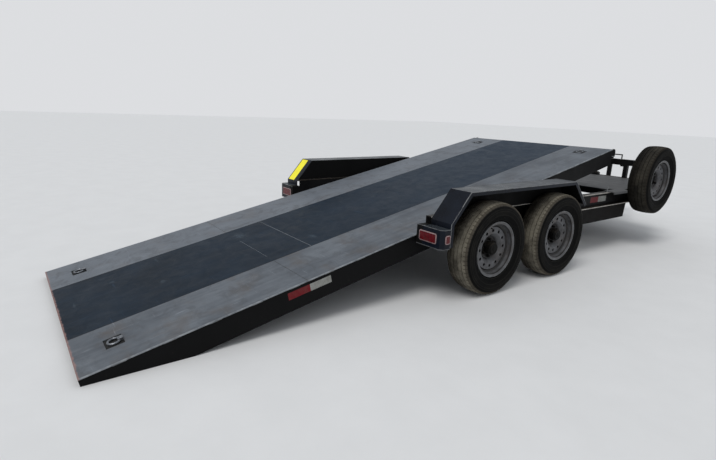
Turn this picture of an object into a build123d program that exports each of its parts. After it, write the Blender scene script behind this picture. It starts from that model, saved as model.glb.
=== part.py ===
from build123d import *
import math
import os

# Car carrier trailer with a tilting deck, two axles and a short fixed platform in front.
# Millimetres. +Y points to the coupler, +X to the trailer's right side, +Z up, ground at Z = 0.
# Pieces are made with Y = 0 half way between the axles, and write_parts moves them all
# so that Y = 0 is the middle of the whole trailer's length.
# Parts of the deck are made level and then tilted to the resting pose, tail on the ground.

# Fits and cuts
overrun = 20
running_gap = 0.05
seat_gap = 0.3
swing_gap = 12

# Wheels: tyres for 16 by 6 rims
tyre_radius = 376
tyre_width = 217
tread_width = 178
tyre_crown = 8
shoulder_drop = 30
bead_radius = 208
rim_flange_radius = 226
rim_width = 152.4
rim_flange = 11
rim_wall = 5
rim_well_radius = 186
rim_well_share = 0.42
disc_wall = 6
disc_rise = 34
disc_rim_radius = 180
hand_hole_radius = 13
hand_hole_circle = 144
hand_holes = 12
stud_circle = 139.7
studs = 6
stud_radius = 7
stud_hole_radius = 8
nut_radius = 12
nut_height = 18
hub_radius = 54
hub_reach = 52
cap_radius = 46
cap_reach = 16
cap_round = 8
hub_flange_radius = 88
hub_flange_wall = 12
drum_radius = 160
drum_depth = 58
drum_lip = 5
drum_lip_wide = 10

# Axles
axle_spread = 902
axle_radius = 38
spindle_radius = 25
backing_radius = 156
backing_wall = 6
backing_gap = 6.5
u_bolt_radius = 6
u_bolt_seat_share = 0.9
seat_plate_wall = 10
seat_plate_margin = 8

# Main frame: channel rails with their flanges outward
rail_height = 152
rail_flange = 55
rail_web = 6
rail_flange_wall = 9
rail_front = 3200

# Deck
deck_width = 1880
deck_length = 5165
deck_ahead = 2189
deck_level = 656
deck_plate = 8
plate_overhang = 6
deck_depth = 165
strip_share = 0.2572
seam = 2
# Seams across the plates, as shares of the deck's length from the tail
strip_seam_share = 0.2617
centre_seam_share = 0.3245
tail_edge = 47
beam_flange = 50
beam_web = 6
beam_flange_wall = 8
tail_bar_length = 70
front_bar_width = 50
lug_reach = 75
lug_wall = 12
lug_radius = 28
lug_hole = 11

# Deck joists, places as shares of the run between the first and the last, which stand beside the ring pans
joist_height = 76
joist_width = 40
joist_wall = 6
joist_room = 3
joist_shares = (0, 0.07, 0.15, 0.225, 0.3, 0.378, 0.457, 0.53, 0.65, 0.735, 0.82, 0.91, 1)
ring_share = 0.042
ring_side_share = 0.74
pan_length = 120
pan_width = 100
pan_wall = 4
ring_radius = 32
ring_wire = 7
strap_width = 36
strap_wall = 4

# Pivot of the deck
pivot_y = -395
pivot_z = 560
pivot_radius = 25
pivot_tube_radius = 40
pivot_cap_radius = 36
pivot_cap = 10

# Fenders
tyre_clear = 7
fender_wall = 4
fender_headroom = 104
fender_rear_room = 163
fender_rear_run = 185
fender_rear_drop = 216
fender_front_room = 3
fender_front_run = 218
fender_front_drop = 224
fender_drop_bottom = 465
fender_lip = 30
fender_width = 205
brace_radius = 9
brace_front_share = 0.86

# Lamp boxes behind the fenders
lamp_box_length = 85
lamp_box_top = 600
lamp_box_bottom = 457
lamp_box_wall = 4
lamp_chamfer = 25
lamp_round = 10
lamp_thick = 14
lamp_proud = 5
tail_lamp_height = 70
tail_lamp_width = 168
side_lamp_height = 58
side_lamp_length = 44

# Cross members of the main frame, places ahead of the middle of the axles
cross_height = 70
cross_width = 60
cross_wall = 6
cross_top = 440
cylinder_cross = 575
cross_places = (-335, cylinder_cross, 1130, 1745)
header_depth = 100
header_wall = 6

# Platform
platform_gap = 14
platform_plate = 8
platform_joists = 4
post_side = 50
notch_room = 15
notch_depth = 80
step_rear = 1655
step_reach = 63
step_lip = 26

# Tongue
tongue_height = 152
tongue_flange = 50
tongue_wall = 8
tongue_reach = 1130
tongue_rear = 860
tongue_under = 1130
nose_half = 45
nose_plate = 12
nose_height = 170

# Coupler
coupler_length = 250
coupler_width = 76
coupler_height = 78
coupler_wall = 8
ball_radius = 29.9
socket_depth = 48
socket_rim = 12
coupler_latch_length = 90
coupler_latch_height = 36
coupler_latch_width = 22
coupler_round = 10
coupler_neck_half = 30

# Tongue jack
jack_setback = 640
jack_radius = 32
jack_leg_radius = 25
jack_top = 960
jack_bottom = 190
jack_foot = 180
jack_foot_wall = 8
jack_plate = 12
jack_plate_length = 150
jack_head_radius = 42
jack_head_height = 70
jack_collar_radius = 48
jack_gusset = 60
crank_radius = 8
crank_length = 150
crank_grip_radius = 14
crank_grip = 110

# Springs
leaf_width = 44
leaf_wall = 8
leaves = 5
leaf_step_share = 0.8
eye_radius = 17
eye_bore = 8
eye_drop = 94
spring_half = 330
equaliser_wall = 20
equaliser_pin_rise = 30
hanger_wall = 5
hanger_length = 90
bolt_radius = 7.5

# Front stop rail
stop_rail_top = 905
stop_rail_height = 76
stop_rail_width = 50
stop_rail_half = 800
stop_rail_setback = 45
stop_post_places = (-480, 480)
front_pad = (110, 60, 45)
front_pad_side = 80

# Spare wheel
spare_y = 2384
spare_z = 764
spare_clear = 3
spare_post_top = 860
spare_arm_radius = 20
spare_plate_radius = 80
spare_plate = 6

# Tilt cylinder under the front of the deck
cylinder_radius = 30
cylinder_length = 560
cylinder_rod_radius = 16
cylinder_eye_radius = 26
cylinder_eye_width = 38
cylinder_pin_radius = 12
cylinder_base_z = 425
cylinder_eye_room = 8
cylinder_lug = 12
cylinder_cap = 26
cylinder_neck = 44
cylinder_bottoming = 15
# The slot in the lugs at the rod's eye: its length and slope follow the pin's play over the tilt
cylinder_play = 14
cylinder_play_slope = -23.8
slot_room = 1
pin_head_radius = 21
pin_head = 6
gland_step = 4

# Sizes that follow
half_deck = deck_width / 2
deck_behind = deck_length - deck_ahead
deck_rise = deck_level - pivot_z
tilt = math.degrees(math.atan2(deck_rise, deck_behind)
                    + math.asin((pivot_z - tail_edge) / math.hypot(deck_rise, deck_behind)))
deck_tail = pivot_y - deck_behind
deck_front = pivot_y + deck_ahead
deck_bottom = deck_level - deck_depth
plate_bottom = deck_level - deck_plate
rail_inner = half_deck + swing_gap
rail_outer = rail_inner + rail_flange
rail_top = deck_level
rail_bottom = rail_top - rail_height
tyre_inner = rail_outer + fender_wall + tyre_clear
wheel_x = tyre_inner + tyre_width / 2
fender_outer = rail_outer + fender_width
axle_places = (-axle_spread / 2, axle_spread / 2)
fender_top = tyre_radius * 2 + fender_headroom
fender_foot_rear = axle_places[0] - tyre_radius - fender_rear_room
fender_foot_height = fender_top - fender_rear_drop
fender_top_rear = fender_foot_rear + fender_rear_run
fender_end_front = axle_places[1] + tyre_radius + fender_front_room
fender_end_height = fender_top - fender_front_drop
fender_top_front = fender_end_front - fender_front_run
sides = (-1, 1)
spring_x = (rail_inner + rail_outer) / 2
eye_z = rail_bottom - eye_drop
platform_rear = pivot_y + math.hypot(deck_ahead, deck_bottom - pivot_z) + platform_gap
spare_x = rail_outer + spare_clear + tyre_width / 2
platform_top = rail_top + platform_plate
step_front = spare_y - tyre_radius - step_reach
notch_inner = half_deck - plate_overhang - lug_wall - notch_room
header_rear = rail_front - header_depth
tongue_top = rail_bottom
tongue_bottom = tongue_top - tongue_height
tongue_nose = rail_front + tongue_reach
tongue_back = rail_front - tongue_under
tongue_slope = (rail_outer - nose_half) / (tongue_nose - tongue_back)
jack_place = tongue_nose - jack_setback
cylinder_base_y = cylinder_cross + cross_width / 2 + cylinder_eye_radius + cylinder_eye_room
first_joist = deck_tail + deck_length * ring_share + pan_width / 2 + joist_room
last_joist = deck_front - deck_length * ring_share - pan_width / 2 - joist_room - joist_width
cylinder_head_y = last_joist + joist_width / 2
cylinder_head_z = plate_bottom - joist_height - cylinder_eye_radius - cylinder_eye_room


def span(x, y, z):
    """A block between pairs of planes, each pair given as low and high."""
    size = Box(x[1] - x[0], y[1] - y[0], z[1] - z[0])
    return Pos((x[0] + x[1]) / 2, (y[0] + y[1]) / 2, (z[0] + z[1]) / 2) * size


def rod_x(radius, x, y, z):
    """A round bar along X between two planes."""
    bar = Rot(0, 90, 0) * Cylinder(radius, x[1] - x[0])
    return Pos((x[0] + x[1]) / 2, y, z) * bar


def rod_z(radius, x, y, z):
    """A round bar along Z between two heights."""
    return Pos(x, y, (z[0] + z[1]) / 2) * Cylinder(radius, z[1] - z[0])


def side_plate(points, x):
    """A plate with an outline in Y and Z, between two planes across."""
    face = Plane.YZ * make_face(Polyline(*points, close=True))
    return Pos(x[0], 0, 0) * extrude(face, x[1] - x[0])


def spun(points):
    """A body turned about the X axis from points given as across and radius."""
    return revolve(make_face(Polyline(*points, close=True)), Axis.X)


def mirrored(piece):
    """The other side's copy of a piece."""
    return mirror(piece, Plane.YZ)


def tilted(piece):
    """A piece of the level deck at its resting tilt."""
    return piece.rotate(Axis((0, pivot_y, pivot_z), (1, 0, 0)), tilt)


def tilt_point(y, z):
    """A level deck point, given as Y and Z, at the resting tilt."""
    turn = math.radians(tilt)
    along, up = y - pivot_y, z - pivot_z
    return (pivot_y + along * math.cos(turn) - up * math.sin(turn),
            pivot_z + along * math.sin(turn) + up * math.cos(turn))


# Wheels, made about the X axis with the hub's mounting face at X = 0 and the outside at +X
def make_tyre():
    half = tyre_width / 2
    half_bead = rim_width / 2 - seat_gap
    bulge = (bead_radius + tyre_radius) / 2
    half_tread = tread_width / 2
    shoulder = tyre_radius - shoulder_drop
    crown = tyre_radius - tyre_crown
    bead = bead_radius + seat_gap
    hook = rim_flange_radius + seat_gap
    lines = [
        Polyline((-half_bead, hook), (-half_bead, bead), (half_bead, bead), (half_bead, hook)),
        ThreePointArc((half_bead, hook), (half, bulge), (half - tyre_crown, shoulder)),
        Line((half - tyre_crown, shoulder), (half_tread, crown)),
        ThreePointArc((half_tread, crown), (0, tyre_radius), (-half_tread, crown)),
        Line((-half_tread, crown), (tyre_crown - half, shoulder)),
        ThreePointArc((tyre_crown - half, shoulder), (-half, bulge), (-half_bead, hook)),
    ]
    return revolve(make_face(lines), Axis.X)


def make_rim():
    half = rim_width / 2
    well = half * rim_well_share
    barrel = spun([
        (-half - rim_flange, rim_flange_radius),
        (-half, rim_flange_radius),
        (-half, bead_radius),
        (-well - rim_flange, bead_radius - rim_wall),
        (-well, rim_well_radius),
        (well, rim_well_radius),
        (well + rim_flange, bead_radius - rim_wall),
        (half, bead_radius),
        (half, rim_flange_radius),
        (half + rim_flange, rim_flange_radius),
        (half + rim_flange, rim_flange_radius - rim_wall),
        (half + rim_wall, bead_radius - rim_wall),
        (well + rim_flange + rim_wall, bead_radius - rim_wall - rim_wall),
        (well + rim_wall, rim_well_radius - rim_wall),
        (-well - rim_wall, rim_well_radius - rim_wall),
        (-well - rim_flange - rim_wall, bead_radius - rim_wall - rim_wall),
        (-half - rim_wall, bead_radius - rim_wall),
        (-half - rim_flange, rim_flange_radius - rim_wall),
    ])
    inner = hub_radius + seat_gap
    nave = hub_flange_radius
    disc = spun([
        (0, inner),
        (0, nave),
        (disc_rise, nave + disc_rise),
        (disc_rise, disc_rim_radius - disc_wall),
        (0, disc_rim_radius + disc_wall / 3),
        (disc_wall, disc_rim_radius + disc_wall / 3),
        (disc_rise + disc_wall, disc_rim_radius - disc_wall),
        (disc_rise + disc_wall, nave + disc_rise),
        (disc_wall, nave),
        (disc_wall, inner),
    ])
    reach = disc_rise + overrun
    for k in range(hand_holes):
        hole = rod_x(hand_hole_radius, (-overrun, reach), 0, hand_hole_circle)
        disc -= Rot(360 / hand_holes * k, 0, 0) * hole
    for k in range(studs):
        hole = rod_x(stud_hole_radius, (-overrun, reach), 0, stud_circle / 2)
        disc -= Rot(360 / studs * k, 0, 0) * hole
    return barrel + disc


def make_hub():
    drum_start = -hub_flange_wall - drum_depth
    body = spun([
        (drum_start, drum_radius - drum_lip_wide),
        (drum_start, drum_radius + drum_lip),
        (drum_start + drum_lip_wide, drum_radius + drum_lip),
        (drum_start + drum_lip_wide, drum_radius),
        (-hub_flange_wall, drum_radius),
        (0, hub_flange_radius),
        (0, hub_radius),
        (hub_reach, hub_radius),
        (hub_reach, spindle_radius + running_gap),
        (drum_start + drum_lip_wide, spindle_radius + running_gap),
        (drum_start + drum_lip_wide, hub_radius),
        (-hub_flange_wall - drum_lip_wide, hub_radius),
        (-hub_flange_wall - drum_lip_wide, drum_radius - drum_lip_wide),
    ])
    cap = rod_x(cap_radius, (hub_reach, hub_reach + cap_reach), 0, 0)
    body += fillet(cap.edges().sort_by(Axis.X)[-1], cap_round)
    for k in range(studs):
        stud = rod_x(stud_radius, (-drum_lip, disc_wall + nut_height + drum_lip), 0, stud_circle / 2)
        nut = Pos(disc_wall + seat_gap, 0, stud_circle / 2) * Rot(0, 90, 0) * extrude(
            RegularPolygon(nut_radius, 6), nut_height)
        body += Rot(360 / studs * k, 0, 0) * (stud + nut)
    return body


def place_wheel(piece, side, y):
    """A wheel piece on its axle, its outside facing away from the trailer."""
    facing = piece if side > 0 else mirrored(piece)
    return Pos(side * wheel_x, y, tyre_radius) * facing


def make_axle(y):
    """An axle tube with its backing plates, spindles, U bolts and the plates under the springs."""
    reach = wheel_x - hub_flange_wall - drum_depth - backing_gap
    bar = rod_x(axle_radius, (-reach, reach), y, tyre_radius)
    for side in sides:
        face = side * reach
        plate = sorted((face, face - side * backing_wall))
        bar += rod_x(backing_radius, plate, y, tyre_radius)
        tip = wheel_x + hub_reach - seat_gap
        bar += rod_x(spindle_radius, sorted((face - side * backing_wall, side * tip)), y, tyre_radius)
        bar += make_spring_seat(side, y)
    return bar


def make_spring_seat(side, y):
    """Two U bolts over the axle tube and the plate that they pull up under the leaves."""
    leaves_low = tyre_radius - axle_radius - seat_gap - leaf_wall * leaves
    plate_top = leaves_low - seat_gap
    bend = axle_radius + u_bolt_radius * u_bolt_seat_share
    across = leaf_width / 2 + u_bolt_radius + seat_gap
    half_x = across + u_bolt_radius + seat_plate_margin
    half_y = bend + u_bolt_radius + seat_plate_margin
    middle = side * spring_x
    seat = span((middle - half_x, middle + half_x), (y - half_y, y + half_y),
                (plate_top - seat_plate_wall, plate_top))
    for hand in sides:
        x = middle + hand * across
        loop = Rot(0, 90, 0) * Torus(bend, u_bolt_radius)
        below = span((-bend, bend), (-bend - overrun, bend + overrun), (-bend - overrun, 0))
        seat += Pos(x, y, tyre_radius) * (loop - below)
        for end in sides:
            leg_low = plate_top - seat_plate_wall - nut_height
            seat += rod_z(u_bolt_radius, x, y + end * bend, (leg_low, tyre_radius))
    return seat


def make_spring(side, y):
    """One pack of leaves with its two eyes, under the axle, its ends at eye height."""
    low = tyre_radius - axle_radius - seat_gap
    x = (side * spring_x - leaf_width / 2, side * spring_x + leaf_width / 2)
    pack = None
    for k in range(leaves):
        reach = spring_half * leaf_step_share ** k
        rise = (eye_z - eye_radius - low + leaf_wall) * (reach / spring_half) ** 2
        top = low - leaf_wall * k
        upper = ThreePointArc((y - reach, top + rise), (y, top), (y + reach, top + rise))
        lower = ThreePointArc((y - reach, top + rise - leaf_wall), (y, top - leaf_wall),
                              (y + reach, top + rise - leaf_wall))
        ends = [Line(upper @ 0, lower @ 0), Line(upper @ 1, lower @ 1)]
        leaf = Pos(x[0], 0, 0) * extrude(Plane.YZ * make_face([upper, lower] + ends), x[1] - x[0])
        pack = leaf if pack is None else pack + leaf
    for end in sides:
        eye = rod_x(eye_radius, x, y + end * spring_half, eye_z)
        pack += eye
    for end in sides:
        pack -= rod_x(eye_bore, (x[0] - overrun, x[1] + overrun), y + end * spring_half, eye_z)
    return pack


def make_hangers():
    """Hanger plates under the rails with the bolts, and the equalisers between the springs."""
    pieces = []
    inner = leaf_width / 2 + seat_gap
    outer = inner + hanger_wall
    ends = (-axle_spread / 2 - spring_half, 0, axle_spread / 2 + spring_half)
    for side in sides:
        for place in ends:
            z = eye_z + (equaliser_pin_rise if place == 0 else 0)
            group = None
            for hand in sides:
                x = sorted((side * spring_x + hand * inner, side * spring_x + hand * outer))
                half = hanger_length / 2
                plate = side_plate([(place - half, rail_bottom), (place + half, rail_bottom),
                                    (place + eye_radius, z), (place - eye_radius, z)], x)
                plate += rod_x(eye_radius, x, place, z)
                group = plate if group is None else group + plate
            reach = outer + bolt_radius
            bolt = (side * spring_x - reach, side * spring_x + reach)
            pieces.append(group + rod_x(bolt_radius, bolt, place, z))
    return pieces


def make_equaliser(side):
    """The rocker between the front and rear springs, with its two shackle pins."""
    reach = axle_spread / 2 - spring_half
    z = eye_z
    half = equaliser_wall / 2
    pin_z = z + equaliser_pin_rise
    x = (side * spring_x - half, side * spring_x + half)
    drop = reach - eye_radius - seat_gap
    top = pin_z + eye_radius
    rocker = side_plate([(-drop, z), (-drop / 2, top), (drop / 2, top), (drop, z), (drop, z - eye_radius),
                         (-drop, z - eye_radius)], x)
    return rocker - rod_x(bolt_radius + seat_gap, (x[0] - overrun, x[1] + overrun), 0, pin_z)


def make_rail(side):
    """A channel rail with its flanges outward, bored for the pivot."""
    web = span((rail_inner, rail_inner + rail_web), (fender_foot_rear, rail_front), (rail_bottom, rail_top))
    for z in ((rail_bottom, rail_bottom + rail_flange_wall), (rail_top - rail_flange_wall, rail_top)):
        web += span((rail_inner, rail_outer), (fender_foot_rear, rail_front), z)
    hole = rod_x(pivot_radius + running_gap, (rail_inner - overrun, rail_outer), pivot_y, pivot_z)
    rail = web - hole
    return rail if side > 0 else mirrored(rail)


def make_pivot():
    """The shaft between the rails, with a cap on each end outside the webs."""
    end = rail_inner + rail_web
    shaft = rod_x(pivot_radius, (-end, end), pivot_y, pivot_z)
    for side in sides:
        cap = sorted((side * (end + seat_gap), side * (end + seat_gap + pivot_cap)))
        shaft += rod_x(pivot_cap_radius, cap, pivot_y, pivot_z)
        neck = sorted((side * (end - seat_gap), side * (end + pivot_cap)))
        shaft += rod_x(pivot_radius, neck, pivot_y, pivot_z)
    return shaft


def make_cross_members():
    """Box members that step up to the rails or end in the tongue's beams, and the header in front."""
    members = []
    for y in cross_places:
        under_rails = y < tongue_rear
        half = rail_outer if under_rails else rail_outer - tongue_wall
        along = (y - cross_width / 2, y + cross_width / 2)
        bar = span((-half, half), along, (cross_top - cross_height, cross_top))
        inside = (y - cross_width / 2 + cross_wall, y + cross_width / 2 - cross_wall)
        bar -= span((-rail_outer - overrun, rail_outer + overrun), inside,
                    (cross_top - cross_height + cross_wall, cross_top - cross_wall))
        for side in sides if under_rails else ():
            bar += span(sorted((side * rail_inner, side * rail_outer)), along, (cross_top, rail_bottom))
        if y == cylinder_cross:
            bar += make_base_lugs(y)
        members.append(bar)
    return members + [make_header()]


def make_header():
    """The box across the front between the rails, level with the platform's plate."""
    header = span((-rail_inner, rail_inner), (header_rear, rail_front), (rail_bottom, platform_top))
    hollow = span((-rail_inner - overrun, rail_inner + overrun),
                  (header_rear + header_wall, rail_front - header_wall),
                  (rail_bottom + header_wall, platform_top - header_wall))
    return header - hollow


def make_base_lugs(y):
    """The two lugs that hold the foot of the cylinder."""
    lugs = None
    gap = cylinder_eye_width / 2 + seat_gap
    face = y + cross_width / 2
    for side in sides:
        x = sorted((side * gap, side * (gap + cylinder_lug)))
        outline = [(face, cross_top), (face, cross_top - cross_height),
                   (cylinder_base_y, cylinder_base_z - cylinder_eye_radius),
                   (cylinder_base_y, cylinder_base_z + cylinder_eye_radius)]
        lug = side_plate(outline, x) + rod_x(cylinder_eye_radius, x, cylinder_base_y, cylinder_base_z)
        lugs = lug if lugs is None else lugs + lug
    return lugs + rod_x(cylinder_pin_radius, (-gap - cylinder_lug, gap + cylinder_lug),
                        cylinder_base_y, cylinder_base_z)


def make_joist(half, y, top):
    """A channel across with its back to the rear and its open side to the front."""
    joist = span((-half, half), (y, y + joist_width), (top - joist_height, top))
    hollow = span((-half - overrun, half + overrun), (y + joist_wall, y + joist_width + overrun),
                  (top - joist_height + joist_wall, top - joist_wall))
    return joist - hollow


def make_platform_frame():
    """Joists under the fixed platform, between the rails."""
    first = platform_rear + notch_depth
    reach = header_rear - first - joist_width
    joists = []
    for k in range(platform_joists):
        y = first + reach * k / platform_joists
        joists.append(make_joist(rail_inner, y, rail_top))
    return joists


def make_platform_plate():
    """The plate over joists and rails, notched for the deck's lugs, with a step out on each side."""
    step_outer = rail_outer + step_reach
    outline = [(0, platform_rear), (notch_inner, platform_rear), (notch_inner, platform_rear + notch_depth),
               (rail_inner, platform_rear + notch_depth), (rail_inner, step_rear), (step_outer, step_rear),
               (step_outer, step_front), (rail_outer, step_front + step_reach), (rail_outer, header_rear),
               (0, header_rear)]
    half = Pos(0, 0, rail_top) * extrude(make_face(Polyline(*outline, close=True)), platform_plate)
    half += span((step_outer - platform_plate, step_outer), (step_rear, step_front),
                 (platform_top - step_lip, platform_top))
    return half + mirrored(half)


def flat_bar(points, z):
    """A bar with an outline in X and Y, between two heights."""
    return Pos(0, 0, z[0]) * extrude(make_face(Polyline(*points, close=True)), z[1] - z[0])


def make_tongue(side):
    """One side of the A shaped tongue, a channel along under the rail and then in to the nose."""
    lean = math.hypot(1, tongue_slope)
    wide, thin = tongue_flange * lean, tongue_wall * lean
    run = overrun / tongue_slope
    beam = flat_bar([(nose_half, tongue_nose), (rail_outer, tongue_back), (rail_outer - wide, tongue_back),
                     (nose_half - wide, tongue_nose)], (tongue_bottom, tongue_top))
    web_front = nose_half - thin - overrun
    web_back = rail_outer - thin + overrun
    beam -= flat_bar([(web_front, tongue_nose + run), (web_back, tongue_back - run),
                      (web_back - wide, tongue_back - run), (web_front - wide, tongue_nose + run)],
                     (tongue_bottom + tongue_wall, tongue_top - tongue_wall))
    beam -= span((-rail_outer, 0), (tongue_back - overrun, tongue_nose + overrun),
                 (tongue_bottom - overrun, tongue_top + overrun))
    straight = span((rail_outer - tongue_flange, rail_outer), (tongue_rear, tongue_back),
                    (tongue_bottom, tongue_top))
    straight -= span((rail_outer - tongue_flange - overrun, rail_outer - tongue_wall),
                     (tongue_rear - overrun, tongue_back + overrun),
                     (tongue_bottom + tongue_wall, tongue_top - tongue_wall))
    beam += straight
    return beam if side > 0 else mirrored(beam)


def make_coupler():
    """Nose plate and ball coupler with its latch, the ball socket open below."""
    half = nose_half + nose_plate
    z_mid = (tongue_top + tongue_bottom) / 2
    plate = span((-half, half), (tongue_nose, tongue_nose + nose_plate),
                 (z_mid - nose_height / 2, z_mid + nose_height / 2))
    start = tongue_nose + nose_plate
    low = z_mid - coupler_height / 2
    high = z_mid + coupler_height / 2
    head_radius = ball_radius + coupler_wall
    ball_y = start + coupler_length - head_radius
    neck_y = ball_y - head_radius
    arm = flat_bar([(-coupler_width / 2, start), (coupler_width / 2, start),
                    (coupler_neck_half, neck_y), (head_radius, ball_y),
                    (-head_radius, ball_y), (-coupler_neck_half, neck_y)], (low, high))
    body = arm + rod_z(head_radius, 0, ball_y, (low, high))
    body = fillet(body.edges().filter_by(Plane.XY).group_by(Axis.Z)[-1], coupler_round)
    cup = rod_z(ball_radius, 0, ball_y, (low - overrun, low + socket_depth - ball_radius + socket_rim))
    top = Pos(0, ball_y, low + socket_depth - ball_radius + socket_rim) * Sphere(ball_radius)
    latch = span((-coupler_latch_width / 2, coupler_latch_width / 2),
                 (neck_y - coupler_latch_length, neck_y), (high, high + coupler_latch_height))
    latch = fillet(latch.edges().filter_by(Axis.X).group_by(Axis.Z)[-1], coupler_latch_width / 2)
    return plate + (body - cup - top) + latch


def make_jack_body():
    """The jack's outer tube with its head and crank, on a plate across the tongue."""
    plate_top = tongue_top + jack_plate
    half = jack_setback * tongue_slope + nose_half
    plate = span((-half, half), (jack_place - jack_plate_length / 2, jack_place + jack_plate_length / 2),
                 (tongue_top, plate_top))
    tube = rod_z(jack_radius, 0, jack_place, (jack_bottom, jack_top - jack_head_height))
    tube += rod_z(jack_collar_radius, 0, jack_place, (plate_top, plate_top + jack_plate))
    foot = jack_collar_radius + jack_gusset
    for turn in (0, 90, 180, 270):
        web = side_plate([(0, 0), (foot, 0), (jack_radius, jack_gusset), (0, jack_gusset)],
                         (-jack_plate / 2, jack_plate / 2))
        tube += Pos(0, jack_place, plate_top) * Rot(0, 0, turn) * web
    head = rod_z(jack_head_radius, 0, jack_place, (jack_top - jack_head_height, jack_top))
    crank_z = jack_top - jack_head_height / 2
    arm = rod_x(crank_radius, (jack_head_radius / 2, crank_length), jack_place, crank_z)
    drop = rod_z(crank_radius, crank_length, jack_place, (crank_z - crank_length, crank_z + crank_radius))
    grip_z = crank_z - crank_length
    grip = rod_x(crank_grip_radius, (crank_length, crank_length + crank_grip), jack_place, grip_z)
    bore = rod_z(jack_leg_radius + seat_gap, 0, jack_place, (jack_bottom - overrun, tongue_top))
    return plate + tube - bore + head + arm + drop + grip


def make_jack_leg():
    """The inner leg of the jack, standing on its foot."""
    foot = span((-jack_foot / 2, jack_foot / 2), (jack_place - jack_foot / 2, jack_place + jack_foot / 2),
                (0, jack_foot_wall))
    return foot + rod_z(jack_leg_radius, 0, jack_place, (0, tongue_top - seat_gap))


def fender_outline():
    """The bent line of the fender's sheet from the back plate's foot to its front end, in Y and Z."""
    return [(fender_foot_rear, fender_drop_bottom), (fender_foot_rear, fender_foot_height),
            (fender_top_rear, fender_top), (fender_top_front, fender_top),
            (fender_end_front, fender_end_height)]


def offset_line(points, inset):
    """The same bent line moved inward by a wall, each corner on the meeting of the moved runs."""
    moved = []
    for k, (y, z) in enumerate(points):
        normals = []
        for a, b in ((k - 1, k), (k, k + 1)):
            if a < 0 or b >= len(points):
                continue
            dy, dz = points[b][0] - points[a][0], points[b][1] - points[a][1]
            size = math.hypot(dy, dz)
            normals.append((dz / size, -dy / size))
        ny = sum(n[0] for n in normals) / len(normals)
        nz = sum(n[1] for n in normals) / len(normals)
        scale = inset / (ny * ny + nz * nz)
        moved.append((y + ny * scale, z + nz * scale))
    return moved


def make_fender(side):
    """A folded plate over both wheels with a back plate, a lip outside and two braces."""
    line = fender_outline()
    inset = offset_line(line, fender_wall)
    lip = offset_line(line, fender_lip)
    body = side_plate(line + inset[::-1], (rail_outer, fender_outer))
    body += side_plate(line + lip[::-1], (fender_outer - fender_wall, fender_outer))
    slope = (fender_top_rear - fender_foot_rear) / (fender_top - fender_foot_height)
    cut = fender_foot_rear + (rail_top - fender_foot_height) * slope
    front_slope = (fender_end_front - fender_top_front) / (fender_top - fender_end_height)
    front_cut = fender_top_front + (fender_top - rail_top) * front_slope
    body += side_plate([(cut, rail_top), (fender_top_rear, fender_top), (fender_top_front, fender_top),
                        (front_cut, rail_top)], (rail_outer, rail_outer + fender_wall))
    brace_y = fender_top_front + (fender_end_front - fender_top_front) * brace_front_share
    brace_z = fender_top - (fender_top - fender_end_height) * brace_front_share - fender_wall - brace_radius
    body += rod_x(brace_radius, (rail_outer, fender_outer), brace_y, brace_z)
    brace_y = fender_foot_rear + fender_wall + brace_radius / 2
    body += rod_x(brace_radius, (rail_outer, fender_outer), brace_y, fender_drop_bottom + fender_lip)
    return body if side > 0 else mirrored(body)


def lamp_places():
    """Middles of the lamps on the right side: the one behind as X and Z, the one outside as Y and Z."""
    back = fender_foot_rear - lamp_box_length
    z = (lamp_box_top + lamp_box_bottom) / 2
    tail_x = (rail_inner + fender_outer - lamp_chamfer) / 2
    side_y = (back + lamp_chamfer + fender_foot_rear) / 2
    return (tail_x, z), (side_y, z)


def make_lamp_box(side):
    """A folded box open in front, with a window for a lamp in its back and one in its outer side."""
    back = fender_foot_rear - lamp_box_length
    lean = lamp_box_wall * (math.sqrt(2) - 1)
    outline = [(rail_inner, fender_foot_rear), (rail_inner, back), (fender_outer - lamp_chamfer, back),
               (fender_outer, back + lamp_chamfer), (fender_outer, fender_foot_rear)]
    left, right, low = rail_inner + lamp_box_wall, fender_outer - lamp_box_wall, back + lamp_box_wall
    hollow = [(left, fender_foot_rear + overrun), (left, low), (fender_outer - lamp_chamfer - lean, low),
              (right, back + lamp_chamfer + lean), (right, fender_foot_rear + overrun)]
    body = flat_bar(outline, (lamp_box_bottom, lamp_box_top))
    body -= flat_bar(hollow, (lamp_box_bottom + lamp_box_wall, lamp_box_top - lamp_box_wall))
    (tail_x, z), (side_y, z_side) = lamp_places()
    window = Box(tail_lamp_width, lamp_box_wall + overrun, tail_lamp_height)
    body -= Pos(tail_x, back, z) * fillet(window.edges().filter_by(Axis.Y), lamp_round)
    window = Box(lamp_box_wall + overrun, side_lamp_length, side_lamp_height)
    body -= Pos(fender_outer, side_y, z_side) * fillet(window.edges().filter_by(Axis.X), lamp_round)
    return body if side > 0 else mirrored(body)


def make_lamps():
    """Red lenses in the windows of the lamp boxes, a little proud of them."""
    lenses = []
    (tail_x, z), (side_y, z_side) = lamp_places()
    back = fender_foot_rear - lamp_box_length
    for side in sides:
        lens = Box(tail_lamp_width - seat_gap * 2, lamp_thick, tail_lamp_height - seat_gap * 2)
        lens = fillet(lens.edges().filter_by(Axis.Y), lamp_round - seat_gap)
        lenses.append(Pos(side * tail_x, back - lamp_proud + lamp_thick / 2, z) * lens)
        lens = Box(lamp_thick, side_lamp_length - seat_gap * 2, side_lamp_height - seat_gap * 2)
        lens = fillet(lens.edges().filter_by(Axis.X), lamp_round - seat_gap)
        lenses.append(Pos(side * (fender_outer + lamp_proud - lamp_thick / 2), side_y, z_side) * lens)
    return lenses


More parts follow.
